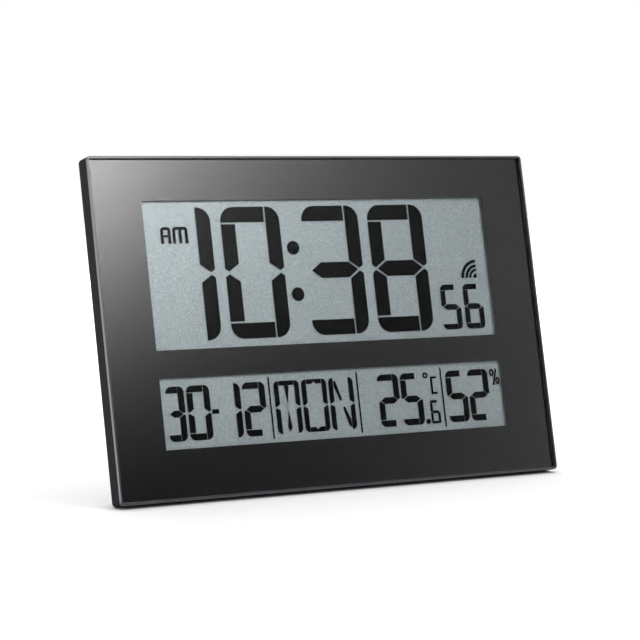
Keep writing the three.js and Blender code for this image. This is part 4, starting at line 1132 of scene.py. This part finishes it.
def background_ray(tree):
    """One where a surface is seen as background: by the camera, in gloss or through glass."""
    path = add(tree, "ShaderNodeLightPath").outputs
    mirrored = maths(tree, "MAXIMUM", path["Is Glossy Ray"], path["Is Transmission Ray"])
    return maths(tree, "MAXIMUM", path["Is Camera Ray"], mirrored)


def make_world():
    """An even world, dim as a light and white as a background."""
    world = bpy.data.worlds.new("world")
    world.use_nodes = True
    tree = world.node_tree
    tree.nodes.clear()
    strength = add(tree, "ShaderNodeMapRange", {"To Min": WORLD_LIGHT, "To Max": 1.0},
                   {"Value": background_ray(tree)})
    back = add(tree, "ShaderNodeBackground", {"Color": (1, 1, 1, 1)},
               {"Strength": strength.outputs["Result"]})
    output = add(tree, "ShaderNodeOutputWorld")
    tree.links.new(back.outputs["Background"], output.inputs["Surface"])
    bpy.context.scene.world = world


def make_lamp(name, where, size, radiance):
    """A soft square lamp of that radiance, which points at the clock."""
    data = bpy.data.lights.new(name, "AREA")
    data.size = size
    data.energy = radiance * math.pi * size ** 2
    lamp = bpy.data.objects.new(name, data)
    lamp.location = where
    aim = Vector(FACE_ORIGIN) - Vector(where)
    lamp.rotation_euler = aim.to_track_quat("-Z", "Y").to_euler()
    bpy.context.scene.collection.objects.link(lamp)


PANEL_AWAY = 3.85
PANEL_X = (-700, 1300)
PANEL_Y = (-700, 900)
GLOW_CORNER = (100, 60)
GLOW_END = 600
GLOW_ACROSS = 128
GLOW_DOWN = 204
GLOW_PEAK = 6.6
GLOW_BASE = 0.02
GLOW_RIGHT = 0.40


def make_panel(camera):
    """A soft panel that the lens mirrors over the picture, bright at its upper left.

    Its corners are corners of the camera's view, mirrored in the face, so its u and v are pixels
    of the picture. Its glow at x, y is peak exp(-(x - x0) / across) exp(-((y - y0) / down)^2), held
    level before x0 and y0, plus a dim part that grows with the square of x and with y.
    """
    turn = np.array(camera.rotation_euler.to_matrix())
    normal = FACE_AXES[2]
    corners = []
    for x, y in ((0, 1), (1, 1), (1, 0), (0, 0)):
        across = (PANEL_X[x] - CENTRE_PIXEL[0]) / FOCAL_PIXELS
        down = (PANEL_Y[y] - CENTRE_PIXEL[1]) / FOCAL_PIXELS
        point = np.array(camera.location) + PANEL_AWAY * turn @ np.array([across, -down, -1])
        corners.append(tuple(point - 2 * ((point - FACE_ORIGIN) @ normal) * normal))
    mesh = bpy.data.meshes.new("soft_panel")
    mesh.from_pydata(corners, [], [(0, 1, 2, 3)])
    (left, right), (top, bottom) = PANEL_X, PANEL_Y
    pixels = mesh.uv_layers.new(name="pixels")
    pixels.data.foreach_set("uv", [left, bottom, right, bottom, right, top, left, top])
    panel = bpy.data.objects.new("soft_panel", mesh)
    bpy.context.scene.collection.objects.link(panel)

    material, tree, output = empty_material("soft panel")
    where = add(tree, "ShaderNodeUVMap", {"uv_map": "pixels"})
    split = add(tree, "ShaderNodeSeparateXYZ", {}, {"Vector": where.outputs["UV"]})

    def run(start, reach, source):
        """How far the source is past the start, in reaches, and nothing before it."""
        past = maths(tree, "MAXIMUM", maths(tree, "SUBTRACT", source, start), 0.0)
        return maths(tree, "DIVIDE", past, reach)

    across = run(GLOW_CORNER[0], GLOW_ACROSS, split.outputs["X"])
    down = run(GLOW_CORNER[1], GLOW_DOWN, split.outputs["Y"])
    total = maths(tree, "ADD", across, maths(tree, "MULTIPLY", down, down))
    glow = maths(tree, "EXPONENT", maths(tree, "MULTIPLY", total, -1.0))
    slope = add(tree, "ShaderNodeMapRange", {
        "From Min": GLOW_CORNER[0],
        "From Max": GLOW_END,
    }, {"Value": split.outputs["X"]}).outputs["Result"]
    low = maths(tree, "MULTIPLY", down, 1.0, use_clamp=True)
    rise = maths(tree, "MULTIPLY", maths(tree, "MULTIPLY", slope, slope), low)
    dim = maths(tree, "MULTIPLY_ADD", rise, GLOW_RIGHT, GLOW_BASE)
    strength = maths(tree, "MULTIPLY_ADD", glow, GLOW_PEAK, dim)
    light = add(tree, "ShaderNodeEmission", {}, {"Strength": strength})
    tree.links.new(light.outputs["Emission"], output.inputs["Surface"])
    mesh.materials.append(material)
    panel.visible_camera = False
    panel.visible_diffuse = False
    panel.visible_shadow = False
    panel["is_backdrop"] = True


class CLOCK_PT_pieces(bpy.types.Panel):
    """Sizes, colours and the operators of the clock"""
    bl_idname = "CLOCK_PT_pieces"
    bl_label = "Wall clock"
    bl_space_type = "VIEW_3D"
    bl_region_type = "UI"
    bl_category = "Clock"

    def draw(self, context):
        for group in (context.scene.clock_sizes, context.scene.clock_colours):
            for key in group.__annotations__:
                self.layout.prop(group, key)
        for operator in OPERATORS:
            self.layout.operator(operator.bl_idname)


OPERATORS = (
    CLOCK_OT_stage,
    CLOCK_OT_rim,
    CLOCK_OT_lens,
    CLOCK_OT_cells,
    CLOCK_OT_rear,
    CLOCK_OT_buttons,
    CLOCK_OT_screws,
    CLOCK_OT_inside,
)
CLASSES = (ClockSizes, ClockColours, *OPERATORS, CLOCK_PT_pieces)


def register():
    """Registers the add-on's classes and its two groups on the scene."""
    for item in CLASSES:
        bpy.utils.register_class(item)
    bpy.types.Scene.clock_sizes = PointerProperty(type=ClockSizes)
    bpy.types.Scene.clock_colours = PointerProperty(type=ClockColours)


def unregister():
    """Undoes register()."""
    del bpy.types.Scene.clock_colours
    del bpy.types.Scene.clock_sizes
    for item in reversed(CLASSES):
        bpy.utils.unregister_class(item)


def main():
    """Dresses the clock, one operator after the other."""
    register()
    bpy.ops.clock.stage()
    bpy.ops.clock.rim()
    bpy.ops.clock.lens()
    bpy.ops.clock.cells()
    bpy.ops.clock.rear()
    bpy.ops.clock.buttons()
    bpy.ops.clock.screws()
    bpy.ops.clock.inside()
    boxes = {"cad": CAD_BOX, "visual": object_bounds()}
    boxes = {name: [list(map(float, corner)) for corner in box] for name, box in boxes.items()}


if __name__ == "__main__":
    main()
